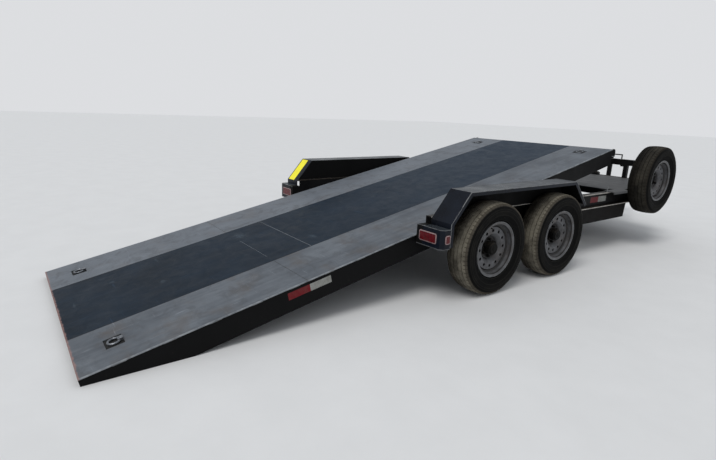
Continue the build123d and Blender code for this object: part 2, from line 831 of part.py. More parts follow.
def make_stop_rail():
    """A square tube across the front on two posts, and the small pad on the header."""
    y = (rail_front - stop_rail_setback - stop_rail_width, rail_front - stop_rail_setback)
    bar = span((-stop_rail_half, stop_rail_half), y, (stop_rail_top - stop_rail_height, stop_rail_top))
    for x in stop_post_places:
        bar += span((x - post_side / 2, x + post_side / 2), y,
                    (platform_top, stop_rail_top - stop_rail_height))
    long, wide, high = front_pad
    pad = span((front_pad_side - long / 2, front_pad_side + long / 2), (header_rear, header_rear + wide),
               (platform_top, platform_top + high))
    return [bar, chamfer(pad.edges().group_by(Axis.Z)[-1], high / 3)]


def make_spare_mount():
    """A post on the platform over the rail with an arm out to the spare wheel's disc."""
    post = span((rail_inner, rail_inner + post_side), (spare_y - post_side / 2, spare_y + post_side / 2),
                (platform_top, spare_post_top))
    face = spare_x - seat_gap
    arm = rod_x(spare_arm_radius, (rail_inner + post_side / 2, face), spare_y, spare_z)
    plate = rod_x(spare_plate_radius, (face - spare_plate, face), spare_y, spare_z)
    for k in range(0, studs, 2):
        stud = rod_x(stud_radius, (face - spare_plate, face + disc_wall + nut_height), 0, stud_circle / 2)
        nut = Pos(spare_x + disc_wall + seat_gap, 0, stud_circle / 2) * Rot(0, 90, 0) * extrude(
            RegularPolygon(nut_radius, 6), nut_height)
        plate += Pos(0, spare_y, spare_z) * Rot(360 / studs * k, 0, 0) * (stud + nut)
    return post + arm + plate


# Deck, made level
def deck_side_outline(inset=0):
    """The side view of the deck's frame, its tail cut so that it lies flat on the ground at rest."""
    slope = math.tan(math.radians(tilt))
    top = plate_bottom - inset
    bottom = deck_bottom + inset
    end = tail_edge / math.cos(math.radians(tilt)) - deck_plate
    tail_low = plate_bottom - end + inset / math.cos(math.radians(tilt))
    knee = deck_tail + (tail_low - bottom) / slope
    tail = deck_tail + inset
    return [(tail, top), (deck_front - inset, top), (deck_front - inset, bottom), (knee, bottom),
            (tail, tail_low - inset * slope)]


def make_beam(side):
    """A side channel of the deck, web outward, bored for the pivot."""
    outer = half_deck - plate_overhang
    beam = side_plate(deck_side_outline(), (outer - beam_flange, outer))
    beam -= side_plate(deck_side_outline(beam_flange_wall),
                       (outer - beam_flange - overrun, outer - beam_web))
    beam -= rod_x(pivot_radius + running_gap, (outer - beam_flange, outer + overrun), pivot_y, pivot_z)
    return beam if side > 0 else mirrored(beam)


def make_deck_joists():
    """Channels across the deck under its plates."""
    half = half_deck - plate_overhang - beam_flange
    run = last_joist - first_joist
    return [make_joist(half, first_joist + run * share, plate_bottom) for share in joist_shares]


def make_pivot_tube():
    """The tube across the deck that turns on the pivot shaft."""
    end = half_deck - plate_overhang - beam_web
    tube = rod_x(pivot_tube_radius, (-end, end), pivot_y, pivot_z)
    return tube - rod_x(pivot_radius + running_gap, (-end - overrun, end + overrun), pivot_y, pivot_z)


def make_end_bars():
    """The wedge across the tail, the channel across the front and the two lugs ahead of it."""
    half = half_deck - plate_overhang - beam_flange
    slope = math.tan(math.radians(tilt))
    end = tail_edge / math.cos(math.radians(tilt)) - deck_plate
    wedge = side_plate([(deck_tail, plate_bottom), (deck_tail + tail_bar_length, plate_bottom),
                        (deck_tail + tail_bar_length, plate_bottom - end - tail_bar_length * slope),
                        (deck_tail, plate_bottom - end)], (-half, half))
    bar = span((-half, half), (deck_front - front_bar_width, deck_front), (deck_bottom, plate_bottom))
    hollow = span((-half - overrun, half + overrun),
                  (deck_front - front_bar_width - overrun, deck_front - beam_web),
                  (deck_bottom + beam_flange_wall, plate_bottom - beam_flange_wall))
    return [wedge, bar - hollow] + [make_front_lug(side) for side in sides]


def make_front_lug(side):
    """A round ended lug with a hole, on the front end of a side channel."""
    outer = half_deck - plate_overhang
    x = sorted((side * outer, side * (outer - lug_wall)))
    y = deck_front + lug_reach - lug_radius
    z = plate_bottom - lug_radius
    lug = span(x, (deck_front, y), (z - lug_radius, z + lug_radius)) + rod_x(lug_radius, x, y, z)
    return lug - rod_x(lug_hole, (x[0] - overrun, x[1] + overrun), y, z)


def make_cylinder_bracket():
    """The two slotted lugs under a joist that the rod's pin bears in."""
    lugs = None
    gap = cylinder_eye_width / 2 + seat_gap
    radius = cylinder_eye_radius
    turn = math.radians(cylinder_play_slope)
    far_y = cylinder_head_y + cylinder_play * math.cos(turn)
    far_z = cylinder_head_z + cylinder_play * math.sin(turn)
    joist_bottom = plate_bottom - joist_height
    for side in sides:
        x = sorted((side * gap, side * (gap + cylinder_lug)))
        rear, front = cylinder_head_y - radius, far_y + radius
        lug = side_plate([(rear, joist_bottom), (front, joist_bottom), (front, far_z),
                          (far_y, far_z - radius), (cylinder_head_y, cylinder_head_z - radius),
                          (rear, cylinder_head_z)], x)
        wide = (x[0] - overrun, x[1] + overrun)
        bore = cylinder_pin_radius + slot_room
        slot = Pos(0, cylinder_head_y, cylinder_head_z) * Rot(cylinder_play_slope, 0, 0) * span(
            wide, (0, cylinder_play), (-bore, bore))
        slot += rod_x(bore, wide, cylinder_head_y, cylinder_head_z) + rod_x(bore, wide, far_y, far_z)
        lug -= slot
        lugs = lug if lugs is None else lugs + lug
    return lugs


def make_centre_plates():
    """The two plates between the side strips, with a seam between them."""
    half = half_deck - deck_width * strip_share - seam / 2
    joint = deck_tail + deck_length * centre_seam_share
    return [span((-half, half), y, (plate_bottom, deck_level))
            for y in ((deck_tail, joint - seam / 2), (joint + seam / 2, deck_front))]


def ring_places():
    """Places of the tie down rings: side and distance of the pan's middle along the deck."""
    ends = (ring_share, 1 - ring_share)
    return [(side * half_deck * ring_side_share, deck_tail + deck_length * share)
            for side in sides for share in ends]


def make_strip(side):
    """The two plates of a side strip, cut for the ring pans."""
    inner = half_deck - deck_width * strip_share + seam / 2
    joint = deck_tail + deck_length * strip_seam_share
    plates = []
    for along in ((deck_tail, joint - seam / 2), (joint + seam / 2, deck_front)):
        plate = span(sorted((side * inner, side * half_deck)), along, (plate_bottom, deck_level))
        for x, y in ring_places():
            if along[0] < y < along[1]:
                plate -= span((x - pan_length / 2, x + pan_length / 2),
                              (y - pan_width / 2, y + pan_width / 2),
                              (plate_bottom - overrun, deck_level + overrun))
        plates.append(plate)
    return plates


def make_rings():
    """Ring pans let into the plates, each with a ring under its strap."""
    pieces = []
    half_long, half_wide = pan_length / 2 - seat_gap, pan_width / 2 - seat_gap
    for x, y in ring_places():
        floor = plate_bottom + pan_wall / 2
        pan = span((x - half_long, x + half_long), (y - half_wide, y + half_wide),
                   (plate_bottom - pan_wall, floor))
        ring = Pos(x, y, floor + seat_gap + ring_wire) * Torus(ring_radius, ring_wire)
        strap = span((x - strap_width / 2, x + strap_width / 2),
                     (y + ring_radius - ring_wire - strap_wall, y + half_wide),
                     (floor, floor + ring_wire * 2 + strap_wall))
        pieces.append(pan + ring + strap)
    return pieces


# Cylinder, placed at rest from its foot pin towards the deck's pin
def cylinder_line():
    """Foot pin, unit direction and length between the pins at rest."""
    head = tilt_point(cylinder_head_y, cylinder_head_z)
    along, up = head[0] - cylinder_base_y, head[1] - cylinder_base_z
    size = math.hypot(along, up)
    return (along / size, up / size), size


def along_cylinder(piece):
    """A piece made along +Y from the foot pin, turned to lie along the cylinder."""
    (along, up), size = cylinder_line()
    return Pos(0, cylinder_base_y, cylinder_base_z) * Rot(math.degrees(math.atan2(up, along)), 0, 0) * piece


def rod_y(radius, y):
    """A round bar along Y on the cylinder's line."""
    return Pos(0, (y[0] + y[1]) / 2, 0) * Rot(90, 0, 0) * Cylinder(radius, y[1] - y[0])


def cylinder_eye(y):
    """The eye across the cylinder's line."""
    half = cylinder_eye_width / 2
    return rod_x(cylinder_eye_radius, (-half, half), y, 0)


def make_barrel():
    """The barrel on its neck and bored eye."""
    half = cylinder_eye_width / 2
    floor = cylinder_neck + cylinder_cap
    barrel = cylinder_eye(0) + rod_y(cylinder_rod_radius, (cylinder_eye_radius / 2, floor))
    barrel += rod_y(cylinder_radius, (cylinder_neck, cylinder_length))
    barrel += rod_y(cylinder_radius + gland_step, (cylinder_length - cylinder_cap, cylinder_length))
    barrel -= rod_y(cylinder_rod_radius + running_gap, (floor, cylinder_length + overrun))
    barrel -= rod_x(cylinder_pin_radius + running_gap, (-half - overrun, half + overrun), 0, 0)
    return along_cylinder(barrel)


def make_rod():
    """The rod with its eye and the headed pin that slides in the lugs' slots."""
    direction, size = cylinder_line()
    level = math.hypot(cylinder_head_y - cylinder_base_y, cylinder_head_z - cylinder_base_z)
    start = size - level + cylinder_neck + cylinder_cap + cylinder_bottoming
    rod = rod_y(cylinder_rod_radius, (start, size)) + cylinder_eye(size)
    outer = cylinder_eye_width / 2 + seat_gap * 2 + cylinder_lug
    rod += rod_x(cylinder_pin_radius, (-outer, outer), size, 0)
    for side in sides:
        rod += rod_x(pin_head_radius, sorted((side * outer, side * (outer + pin_head))), size, 0)
    return along_cylinder(rod)


def all_parts():
    """Every node of the trailer as a name with its solids."""
    parts = {}
    tyre, rim, hub = make_tyre(), make_rim(), make_hub()
    for side, side_name in ((-1, "left"), (1, "right")):
        for y, row in zip(axle_places, ("rear", "front")):
            parts[f"tyre_{side_name}_{row}"] = place_wheel(tyre, side, y)
            parts[f"rim_{side_name}_{row}"] = place_wheel(rim, side, y)
            parts[f"hub_{side_name}_{row}"] = place_wheel(hub, side, y)
        parts[f"frame_rail_{side_name}"] = make_rail(side)
        parts[f"fender_{side_name}"] = make_fender(side)
        parts[f"deck_beam_{side_name}"] = tilted(make_beam(side))
        parts[f"deck_strip_{side_name}"] = [tilted(plate) for plate in make_strip(side)]
        parts[f"lamp_box_{side_name}"] = make_lamp_box(side)
    parts["axle_rear"] = make_axle(axle_places[0])
    parts["axle_front"] = make_axle(axle_places[1])
    parts["leaf_springs"] = [make_spring(side, y) for side in sides for y in axle_places]
    parts["spring_hangers"] = make_hangers() + [make_equaliser(side) for side in sides]
    parts["tongue_beams"] = [make_tongue(side) for side in sides]
    parts["pivot_shaft"] = make_pivot()
    parts["frame_cross_members"] = make_cross_members() + make_platform_frame()
    parts["platform_plate"] = make_platform_plate()
    parts["coupler"] = make_coupler()
    parts["jack_body"] = make_jack_body()
    parts["jack_leg"] = make_jack_leg()
    parts["tail_lamps"] = make_lamps()
    parts["stop_rail"] = make_stop_rail()
    parts["spare_mount"] = make_spare_mount()
    parts["spare_tyre"] = Pos(spare_x, spare_y, spare_z) * tyre
    parts["spare_rim"] = Pos(spare_x, spare_y, spare_z) * rim
    parts["deck_plate_centre"] = [tilted(plate) for plate in make_centre_plates()]
    parts["deck_joists"] = [tilted(joist) for joist in make_deck_joists()]
    parts["deck_pivot_tube"] = tilted(make_pivot_tube())
    parts["deck_end_bars"] = [tilted(bar) for bar in make_end_bars()]
    parts["cylinder_bracket"] = tilted(make_cylinder_bracket())
    parts["tie_down_rings"] = [tilted(ring) for ring in make_rings()]
    parts["cylinder_barrel"] = make_barrel()
    parts["cylinder_rod"] = make_rod()
    return parts


def middle_of(parts):
    """The middle of the whole trailer's length."""
    low, high = math.inf, -math.inf
    for piece in parts.values():
        for solid in (piece if isinstance(piece, list) else [piece]):
            bounds = solid.bounding_box()
            low, high = min(low, bounds.min.Y), max(high, bounds.max.Y)
    return (low + high) / 2


def write_parts(parts, shift):
    os.makedirs("parts", exist_ok=True)
    for name, piece in parts.items():
        solids = []
        for item in (piece if isinstance(piece, list) else [piece]):
            solids += [Pos(0, -shift, 0) * solid for solid in item.solids()]
        shape = solids[0] if len(solids) == 1 else Compound(children=solids)
        shape.label = name
        export_step(shape, f"parts/{name}.step")


trailer = all_parts()
length_middle = middle_of(trailer)
write_parts(trailer, length_middle)
print("nodes", len(trailer), "tilt", round(tilt, 4), "middle", round(length_middle, 3))
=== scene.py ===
import bpy
import math
from mathutils import Matrix, Vector


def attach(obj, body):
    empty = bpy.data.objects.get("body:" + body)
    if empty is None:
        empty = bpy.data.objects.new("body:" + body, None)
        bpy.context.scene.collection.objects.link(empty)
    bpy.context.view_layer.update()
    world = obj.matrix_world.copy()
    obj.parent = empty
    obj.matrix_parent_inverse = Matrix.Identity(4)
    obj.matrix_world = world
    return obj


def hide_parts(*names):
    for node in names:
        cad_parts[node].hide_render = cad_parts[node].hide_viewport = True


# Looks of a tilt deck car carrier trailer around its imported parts.
# Metres, +Y to the coupler, +Z up. Helpers take Y from the middle of the axles, as the parts' source does.

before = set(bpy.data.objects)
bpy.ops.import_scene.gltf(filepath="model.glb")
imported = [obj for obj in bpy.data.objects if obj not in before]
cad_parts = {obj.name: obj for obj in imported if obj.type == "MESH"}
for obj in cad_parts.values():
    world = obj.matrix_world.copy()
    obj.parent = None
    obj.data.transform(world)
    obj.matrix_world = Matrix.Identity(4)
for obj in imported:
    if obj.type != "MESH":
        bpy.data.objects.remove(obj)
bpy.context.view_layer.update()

# Moves from the source's coordinates, where the deck lies level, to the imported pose, where it is tilted
MIDDLE = 0.631989
TILT = math.radians(11.768567)
PIVOT = (-0.395, 0.560)
LEVEL_TO_REST = (Matrix.Translation((0, PIVOT[0] - MIDDLE, PIVOT[1])) @ Matrix.Rotation(TILT, 4, "X")
                 @ Matrix.Translation((0, MIDDLE - PIVOT[0], -PIVOT[1])))
LEVELLED = Matrix.Rotation(-TILT, 3, "X")
ON_FRAME = Matrix.Translation((0, -MIDDLE, 0))
ON_DECK = LEVEL_TO_REST @ ON_FRAME
SIDES = (-1, 1)
SIDE_NAMES = ((-1, "left"), (1, "right"))

# Places of the parts, as their source has them
WHEEL_X = 1.1265
AXLE_Y = {"rear": -0.451, "front": 0.451}
AXLE_Z = 0.376
SPARE = (1.1185, 2.384, 0.764)
RAIL_INNER = 0.952
RAIL_OUTER = 1.007
RAIL_TOP = 0.656
FENDER_OUTER = 1.212
PLATFORM_TOP = 0.664
DECK_TOP = 0.656
PLATE_BOTTOM = 0.648
DECK_TAIL = -3.371
DECK_FRONT = 1.794
STRIP_SEAM = DECK_TAIL + (DECK_FRONT - DECK_TAIL) * 0.2617
CENTRE_SEAM = DECK_TAIL + (DECK_FRONT - DECK_TAIL) * 0.3245
BEAM_OUTER = 0.934
FENDER_LINE = [(-0.990, 0.465), (-0.990, 0.640), (-0.805, 0.856), (0.612, 0.856), (0.830, 0.632)]
LAMP_BACK = -1.075
LAMP_Z = 0.5285
SPRING_X = 0.9795
SPRING_HALF = 0.33
SPRING_RISE = 0.0633
CLIP_AWAY = 0.152
STOP_RAIL = (3.105, 3.155)
JACK_Y = 3.690
CYLINDER_FOOT = (0, 0.639, 0.425)
CYLINDER_HEAD = (0, 1.50407, 0.538)
JOIST_RUN = (-3.10107, 1.48407)
JOIST_SHARES = (0, 0.07, 0.15, 0.225, 0.3, 0.378, 0.457, 0.53, 0.65, 0.735, 0.82, 0.91, 1)
# Radius of the rolled edge of a fender, and the rims' lip and disc weld
ROLL = 0.0022
LIP_X = 0.0862
LIP_RADIUS = 0.2236
LIP_ROUND = 0.0026
DISC_WELD = 0.1812


# Colours, written as they look
def colour(red, green, blue):
    """A shader colour from an 8 bit one."""
    return tuple(((c / 255 + 0.055) / 1.055) ** 2.4 if c > 10 else c / 255 / 12.92
                 for c in (red, green, blue)) + (1.0,)


class Value:
    """What a node of a material gives, with the sums that the looks need."""

    def __init__(self, look, socket):
        self.look = look
        self.socket = socket

    def math(self, operation, other=0.0):
        return self.look.made("ShaderNodeMath", 0, {0: self, 1: other}, operation=operation)

    def __add__(self, other):
        return self.math("ADD", other)

    def __sub__(self, other):
        return self.math("SUBTRACT", other)

    def __mul__(self, other):
        return self.math("MULTIPLY", other)

    def __truediv__(self, other):
        return self.math("DIVIDE", other)

    def __abs__(self):
        return self.math("ABSOLUTE")

    def ramp(self, low, high, out_low=0.0, out_high=1.0):
        """The value carried from one range to another, held at the ends."""
        return self.look.made("ShaderNodeMapRange", "Result", {
            "Value": self, "From Min": low, "From Max": high, "To Min": out_low, "To Max": out_high})


class Look:
    """A material under construction, with short names for the nodes that it uses most."""

    def __init__(self, name, rough=0.5, metal=0.0, gloss=0.5):
        self.material = bpy.data.materials.new(name)
        self.material.use_nodes = True
        self.tree = self.material.node_tree
        self.inputs = self.tree.nodes["Principled BSDF"].inputs
        self.inputs["Roughness"].default_value = rough
        self.inputs["Metallic"].default_value = metal
        self.inputs["Specular IOR Level"].default_value = gloss

    def fill(self, socket, value):
        if isinstance(value, Value):
            self.tree.links.new(value.socket, socket)
        else:
            socket.default_value = value

    def made(self, kind, output, inputs, **settings):
        """What a new node gives for its inputs."""
        node = self.tree.nodes.new(kind)
        for key, value in settings.items():
            setattr(node, key, value)
        for key, value in inputs.items():
            self.fill(node.inputs[key], value)
        return Value(self, node.outputs[output])

    def coords(self, scale=(1, 1, 1), turn=(0, 0, 0), move=(0, 0, 0)):
        source = self.made("ShaderNodeTexCoord", "Object", {})
        return self.made("ShaderNodeMapping", "Vector",
                         {"Vector": source, "Scale": scale, "Rotation": turn, "Location": move})

    def noise(self, vector, scale, detail, rough, distort=0.0):
        return self.made("ShaderNodeTexNoise", "Fac", {
            "Vector": vector, "Scale": scale, "Detail": detail, "Roughness": rough, "Distortion": distort})

    def mix(self, factor, a, b):
        return self.made("ShaderNodeMix", 2, {"Factor": factor, 6: a, 7: b}, data_type="RGBA")

    def part(self, vector, axis):
        return self.made("ShaderNodeSeparateXYZ", axis, {0: vector})

    def upward(self):
        """How far a face looks up, -1 to 1."""
        return self.part(self.made("ShaderNodeNewGeometry", "Normal", {}), 2)

    def done(self, tone, rough=None, height=None, strength=0.12, distance=0.0008):
        """The material with its colour, and its gloss and fine relief where they are given."""
        self.fill(self.inputs["Base Color"], tone)
        if rough is not None:
            self.fill(self.inputs["Roughness"], rough)
        if height is not None:
            relief = {"Strength": strength, "Distance": distance, "Height": height}
            self.fill(self.inputs["Normal"], self.made("ShaderNodeBump", "Normal", relief))
        return self.material


def plate_look(name, dark, light, scuff, extra, lean=-TILT, scratch=0.5, rough=0.55):
    """Worn steel plate: blotches, streaks along its length, light scratches; extra adds to its colour."""
    look = Look(name, rough=rough, gloss=0.14)
    flat = look.coords(turn=(lean, 0, 0))
    blotch = look.noise(flat, 2.6, 7.0, 0.62)
    streak = look.noise(look.coords((16, 0.9, 1), (lean, 0, 0)), 1.6, 5.0, 0.6)
    cloud = look.noise(flat, 9.0, 5.0, 0.65, 0.6)
    tone = look.mix((blotch * 0.5 + streak * 0.3 + cloud * 0.2).ramp(0.36, 0.64), dark, light)
    stain = look.noise(flat, 5.5, 8.0, 0.7, 1.2).ramp(0.6, 0.74)
    tone = look.mix(stain * 0.45, tone, scuff)
    lines = look.noise(look.coords((60, 3.2, 1), (lean, 0, 0.12)), 1.3, 3.0, 0.5).ramp(0.66, 0.72)
    cross = look.noise(look.coords((3.0, 70, 1), (lean, 0, -0.35)), 1.1, 2.0, 0.5).ramp(0.69, 0.74)
    worn = lines.math("MAXIMUM", cross) * scratch * cloud.ramp(0.4, 0.6)
    tone = look.mix(worn, tone, tuple(min(c * 2.2, 1) for c in light))
    grain = look.noise(flat, 240.0, 2.0, 0.5)
    gloss = (cloud * 0.7 + grain * 0.3).ramp(0.3, 0.7, rough - 0.1, rough + 0.14)
    return look.done(extra(look, tone, flat), gloss, grain * 0.5 + cloud, 0.25, 0.0012)


def strip_marks(look, tone, flat):
    """Brown toward the tail, lighter on the left, darker patches and a rubbed outer edge."""
    x = look.part(flat, 0)
    brown = look.noise(flat, 3.4, 6.0, 0.65).ramp(0.5, 0.66) * look.part(flat, 1).ramp(1.0, -2.0)
    tone = look.mix(brown * 0.5, tone, colour(88, 80, 74))
    tone = look.mix(x.ramp(0.4, -0.4, 0.0, 0.45), tone, colour(118, 124, 132))
    mottle = look.noise(flat, 7.0, 8.0, 0.72, 0.8).ramp(0.5, 0.62, 0.0, 0.4)
    tone = look.mix(mottle, tone, colour(72, 74, 78))
    rim = abs(x).ramp(0.9335, 0.9385) * look.noise(flat, 14.0, 5.0, 0.7).ramp(0.35, 0.6, 0.15, 0.85)
    return tail_rust(look, look.mix(rim, tone, colour(158, 162, 166)), flat)


# Light rubbed marks on the deck's centre: middle in X and Y, half length and half width
CENTRE_MARKS = ((-0.215, -2.996, 0.05, 0.035), (0.104, -2.718, 0.06, 0.05), (-0.359, -2.643, 0.09, 0.02),
                (-0.03, -3.27, 0.10, 0.018), (-0.27, -1.97, 0.16, 0.10), (0.28, -1.58, 0.12, 0.06))


def centre_marks(look, tone, flat):
    """Lighter toward the front, with rubbed marks."""
    x, along = look.part(flat, 0), look.part(flat, 1)
    tone = look.mix(along.ramp(-3.2, 1.6, 0.0, 0.75), tone, colour(35, 50, 66))
    ragged = look.noise(flat, 34.0, 6.0, 0.75) * 2.2
    for mark_x, mark_y, long, wide in CENTRE_MARKS:
        spot = LEVELLED @ (ON_DECK @ Vector((mark_x, mark_y, DECK_TOP)))
        dx, dy = (x - spot.x) / long, (along - spot.y) / wide
        reach = (dx * dx + dy * dy).math("SQRT") + ragged
        tone = look.mix(reach.ramp(1.6, 0.8, 0.0, 0.38), tone, colour(98, 113, 125))
    return tail_rust(look, tone, flat)


def tail_rust(look, tone, flat):
    """A rusty, rubbed line along the deck's tail."""
    tail = LEVELLED @ (ON_DECK @ Vector((0, DECK_TAIL, DECK_TOP)))
    ragged = look.part(flat, 1) - tail.y + look.noise(flat, 30.0, 5.0, 0.7) * -0.03
    return look.mix(ragged.ramp(-0.002, -0.010, 0.0, 0.7), tone, colour(150, 118, 112))


def paint_look(name, dark, light, dust, dust_share, rough, edge=None):
    """Black paint with faint blotches, dust on what looks up, and a light painted highlight, broken in
    patches, beyond a distance in X.
    """
    look = Look(name, rough=rough, gloss=0.1)
    flat = look.coords()
    cloud = look.noise(flat, 4.5, 6.0, 0.6)
    fine = look.noise(flat, 60.0, 4.0, 0.6)
    tone = look.mix(cloud.ramp(0.35, 0.65), dark, light)
    film = look.upward().ramp(0.3, 0.9) * look.noise(flat, 12.0, 6.0, 0.65).ramp(0.3, 0.62)
    tone = look.mix(film * dust_share, tone, dust)
    tone = look.mix(fine.ramp(0.66, 0.72) * 0.3, tone, dust)
    # Painted highlight: a light tone on the faces beyond the given X.
    if edge:
        highlight_edge = abs(look.part(flat, 0)).math("GREATER_THAN", edge[0])
        tone = look.mix(highlight_edge * look.noise(flat, 18.0, 5.0, 0.7).ramp(0.3, 0.6, 0.45, 1.0), tone, edge[1])
    return look.done(tone, cloud.ramp(0.3, 0.7, rough - 0.08, rough + 0.15), fine + cloud * 2.0)


def metal_look(name, dark, light, dirt_and_shade, rough, metal, dirt_at, brush=None):
    """Bare or plated metal with dirt in patches; a brush scale draws fine lines."""
    look = Look(name, rough=rough, metal=metal)
    flat = look.coords()
    cloud = look.noise(flat, 14.0, 6.0, 0.6)
    lines = look.noise(look.coords(brush), 1.0, 3.0, 0.5) if brush else look.noise(flat, 90.0, 3.0, 0.6)
    tone = look.mix(lines.ramp(0.3, 0.7), dark, light)
    tone = look.mix(cloud.ramp(*dirt_at, 0.0, 0.85), tone, dirt_and_shade)
    return look.done(tone, cloud.ramp(0.3, 0.7, rough - 0.08, rough + 0.2), lines, 0.2, 0.0006)


def wheel_radius(look, centre):
    """Distance from a wheel's axis, and the coordinates around its centre."""
    flat = look.coords(move=(0, -centre[1], -centre[2]))
    y, z = look.part(flat, 1), look.part(flat, 2)
    return (y * y + z * z).math("SQRT"), flat


def rim_look(name, x, y, z):
    """Silver paint on a steel wheel, with painted shade as a dark line in the flange's corner and over the
    recessed well, and a dark nave.
    """
    look = Look(name, rough=0.36, metal=0.25, gloss=0.3)
    radius, flat = wheel_radius(look, (x, y - MIDDLE, z))
    across = abs(look.part(flat, 0)) - x
    cloud = look.noise(flat, 16.0, 6.0, 0.65)
    fine = look.noise(flat, 30.0, 6.0, 0.7)
    tone = look.mix(cloud.ramp(0.35, 0.65), colour(76, 76, 78), colour(102, 103, 106))
    tone = look.mix(look.noise(flat, 7.0, 7.0, 0.7).ramp(0.5, 0.68) * 0.5, tone, colour(80, 70, 63))
    # Painted shade over the recessed well behind the rim's face.
    well_shade = radius.ramp(0.1735, 0.1765) * across.ramp(0.052, 0.044) * fine.ramp(0.3, 0.6, 0.75, 1.0)
    tone = look.mix(well_shade, tone, colour(34, 32, 30))
    # Painted shadow: a dark line in the concave corner at the flange's root.
    line = radius.ramp(0.2005, 0.2020) * radius.ramp(0.2060, 0.2045) * fine.ramp(0.3, 0.6, 0.6, 0.95)
    tone = look.mix(line, tone, colour(46, 44, 43))
    tone = look.mix(radius.ramp(0.104, 0.088) * cloud.ramp(0.3, 0.6, 0.82, 1.0), tone, colour(27, 25, 25))
    return look.done(tone, cloud.ramp(0.3, 0.7, 0.3, 0.5), look.noise(flat, 120.0, 3.0, 0.6), 0.1, 0.0006)


def rubber_look(name, dust_share):
    """Rubber: dust on the tread, fuller and lighter on its outer half, a darker brown inner half that paints
    the shade there, dark grooves, a near black sidewall.
    """
    look = Look(name, rough=0.75, gloss=0.06)
    radius, flat = wheel_radius(look, (0, 0, 0))
    across = look.part(flat, 0)
    cloud = look.noise(flat, 9.0, 7.0, 0.68)
    fine = look.noise(flat, 110.0, 4.0, 0.6)
    tone = look.mix(fine.ramp(0.35, 0.65), colour(9, 9, 9), colour(17, 17, 17))
    # Painted shade: the tread's inner half gets less dust and a darker brown than its outer half; the dust is
    # real, the darkening inward stands in for shade.
    outer = (across + cloud.ramp(0.3, 0.7, -0.02, 0.02)).ramp(-0.045, 0.030, 0.35 * dust_share, dust_share)
    soil_and_inner_shade = look.mix(across.ramp(-0.040, 0.020), colour(60, 51, 42), colour(96, 91, 82))
    tone = look.mix(radius.ramp(0.346, 0.360) * outer * cloud.ramp(0.32, 0.6, 0.55, 1.0), tone, soil_and_inner_shade)
    top = radius.ramp(0.3660, 0.3690) * cloud.ramp(0.4, 0.62, 0.2, 0.75)
    tone = look.mix(top * outer, tone, colour(132, 127, 114))
    groove = radius.ramp(0.3685, 0.366) * radius.ramp(0.352, 0.360)
    tone = look.mix(groove * 0.5, tone, colour(48, 43, 37))
    band = radius.ramp(0.262, 0.292) * radius.ramp(0.344, 0.316)
    tone = look.mix(band * cloud.ramp(0.42, 0.68, 0.0, 0.3), tone, colour(50, 48, 44))
    for at in (0.2395, 0.2817, 0.3122, 0.3290):
        line = radius.ramp(at - 0.0022, at) * radius.ramp(at + 0.0022, at) * cloud.ramp(0.3, 0.6, 0.25, 0.8)
        tone = look.mix(line, tone, colour(52, 51, 48))
    return look.done(tone, cloud.ramp(0.3, 0.7, 0.62, 0.9), fine, 0.25)


def fender_look():
    """Blue black paint on the outside, scraped and dusty on top; painted shade, near black, inside the wheel
    wells and on faces that look down.
    """
    look = Look("fender_black", rough=0.36, gloss=0.14)
    flat = look.coords()
    cloud = look.noise(flat, 4.5, 6.0, 0.6)
    fine = look.noise(flat, 60.0, 4.0, 0.6)
    upward = look.upward()
    tone = look.mix(cloud.ramp(0.35, 0.65), colour(9, 13, 21), colour(19, 25, 36))
    film = upward.ramp(0.68, 0.98) * look.noise(flat, 12.0, 6.0, 0.65).ramp(0.3, 0.62, 0.3, 1.0)
    tone = look.mix(film * 0.8, tone, colour(63, 68, 72))
    tone = look.mix(fine.ramp(0.66, 0.72) * 0.25, tone, colour(76, 79, 82))
    # Painted shade: near black on faces that look down and on the fender's faces inboard of X 1.0115 to
    # 1.013.
    well_shade = upward.ramp(0.0, -0.3).math("MAXIMUM", abs(look.part(flat, 0)).ramp(1.0130, 1.0115))
    tone = look.mix(well_shade, tone, colour(7, 7, 7))
    return look.done(tone, cloud.ramp(0.3, 0.7, 0.22, 0.42) + well_shade * 0.4, fine + cloud * 2.0)


def ring_look():
    """Worn steel rings over pans that are near black, with dirt and painted shade in their recess."""
    look = Look("ring_steel")
    flat = look.coords(turn=(-TILT, 0, 0))
    cloud = look.noise(flat, 60.0, 5.0, 0.6)
    plane = (LEVELLED @ (ON_DECK @ Vector((0, 0, DECK_TOP)))).z
    # Painted shade with dirt: faces a few millimetres and more below the deck's top are near black.
    pan = (look.part(flat, 2) - plane).ramp(-0.0005, -0.0045)
    steel = look.mix(cloud.ramp(0.35, 0.65), colour(84, 87, 92), colour(146, 150, 156))
    dirt_and_shade = look.mix(cloud.ramp(0.4, 0.6), colour(8, 9, 10), colour(22, 22, 22))
    look.fill(look.inputs["Metallic"], pan.ramp(0.0, 1.0, 0.75, 0.0))
    return look.done(look.mix(pan, steel, dirt_and_shade), pan.ramp(0.0, 1.0, 0.32, 0.8), cloud, 0.2, 0.0006)


def lens_look():
    """Red lamp plastic with fine ribs and a film of dust."""
    look = Look("red_lens", rough=0.25, gloss=0.3)
    flat = look.coords()
    ribs = look.made("ShaderNodeTexWave", "Fac", {"Vector": flat, "Scale": 70.0})
    cells = look.made("ShaderNodeTexVoronoi", "Distance", {"Vector": flat, "Scale": 140.0})
    dust = look.noise(flat, 22.0, 6.0, 0.65).ramp(0.48, 0.7, 0.0, 0.4)
    tone = look.mix(cells.ramp(0.0, 0.6), colour(122, 10, 26), colour(74, 5, 14))
    return look.done(look.mix(dust, tone, colour(70, 52, 48)), height=ribs + cells, strength=0.3)


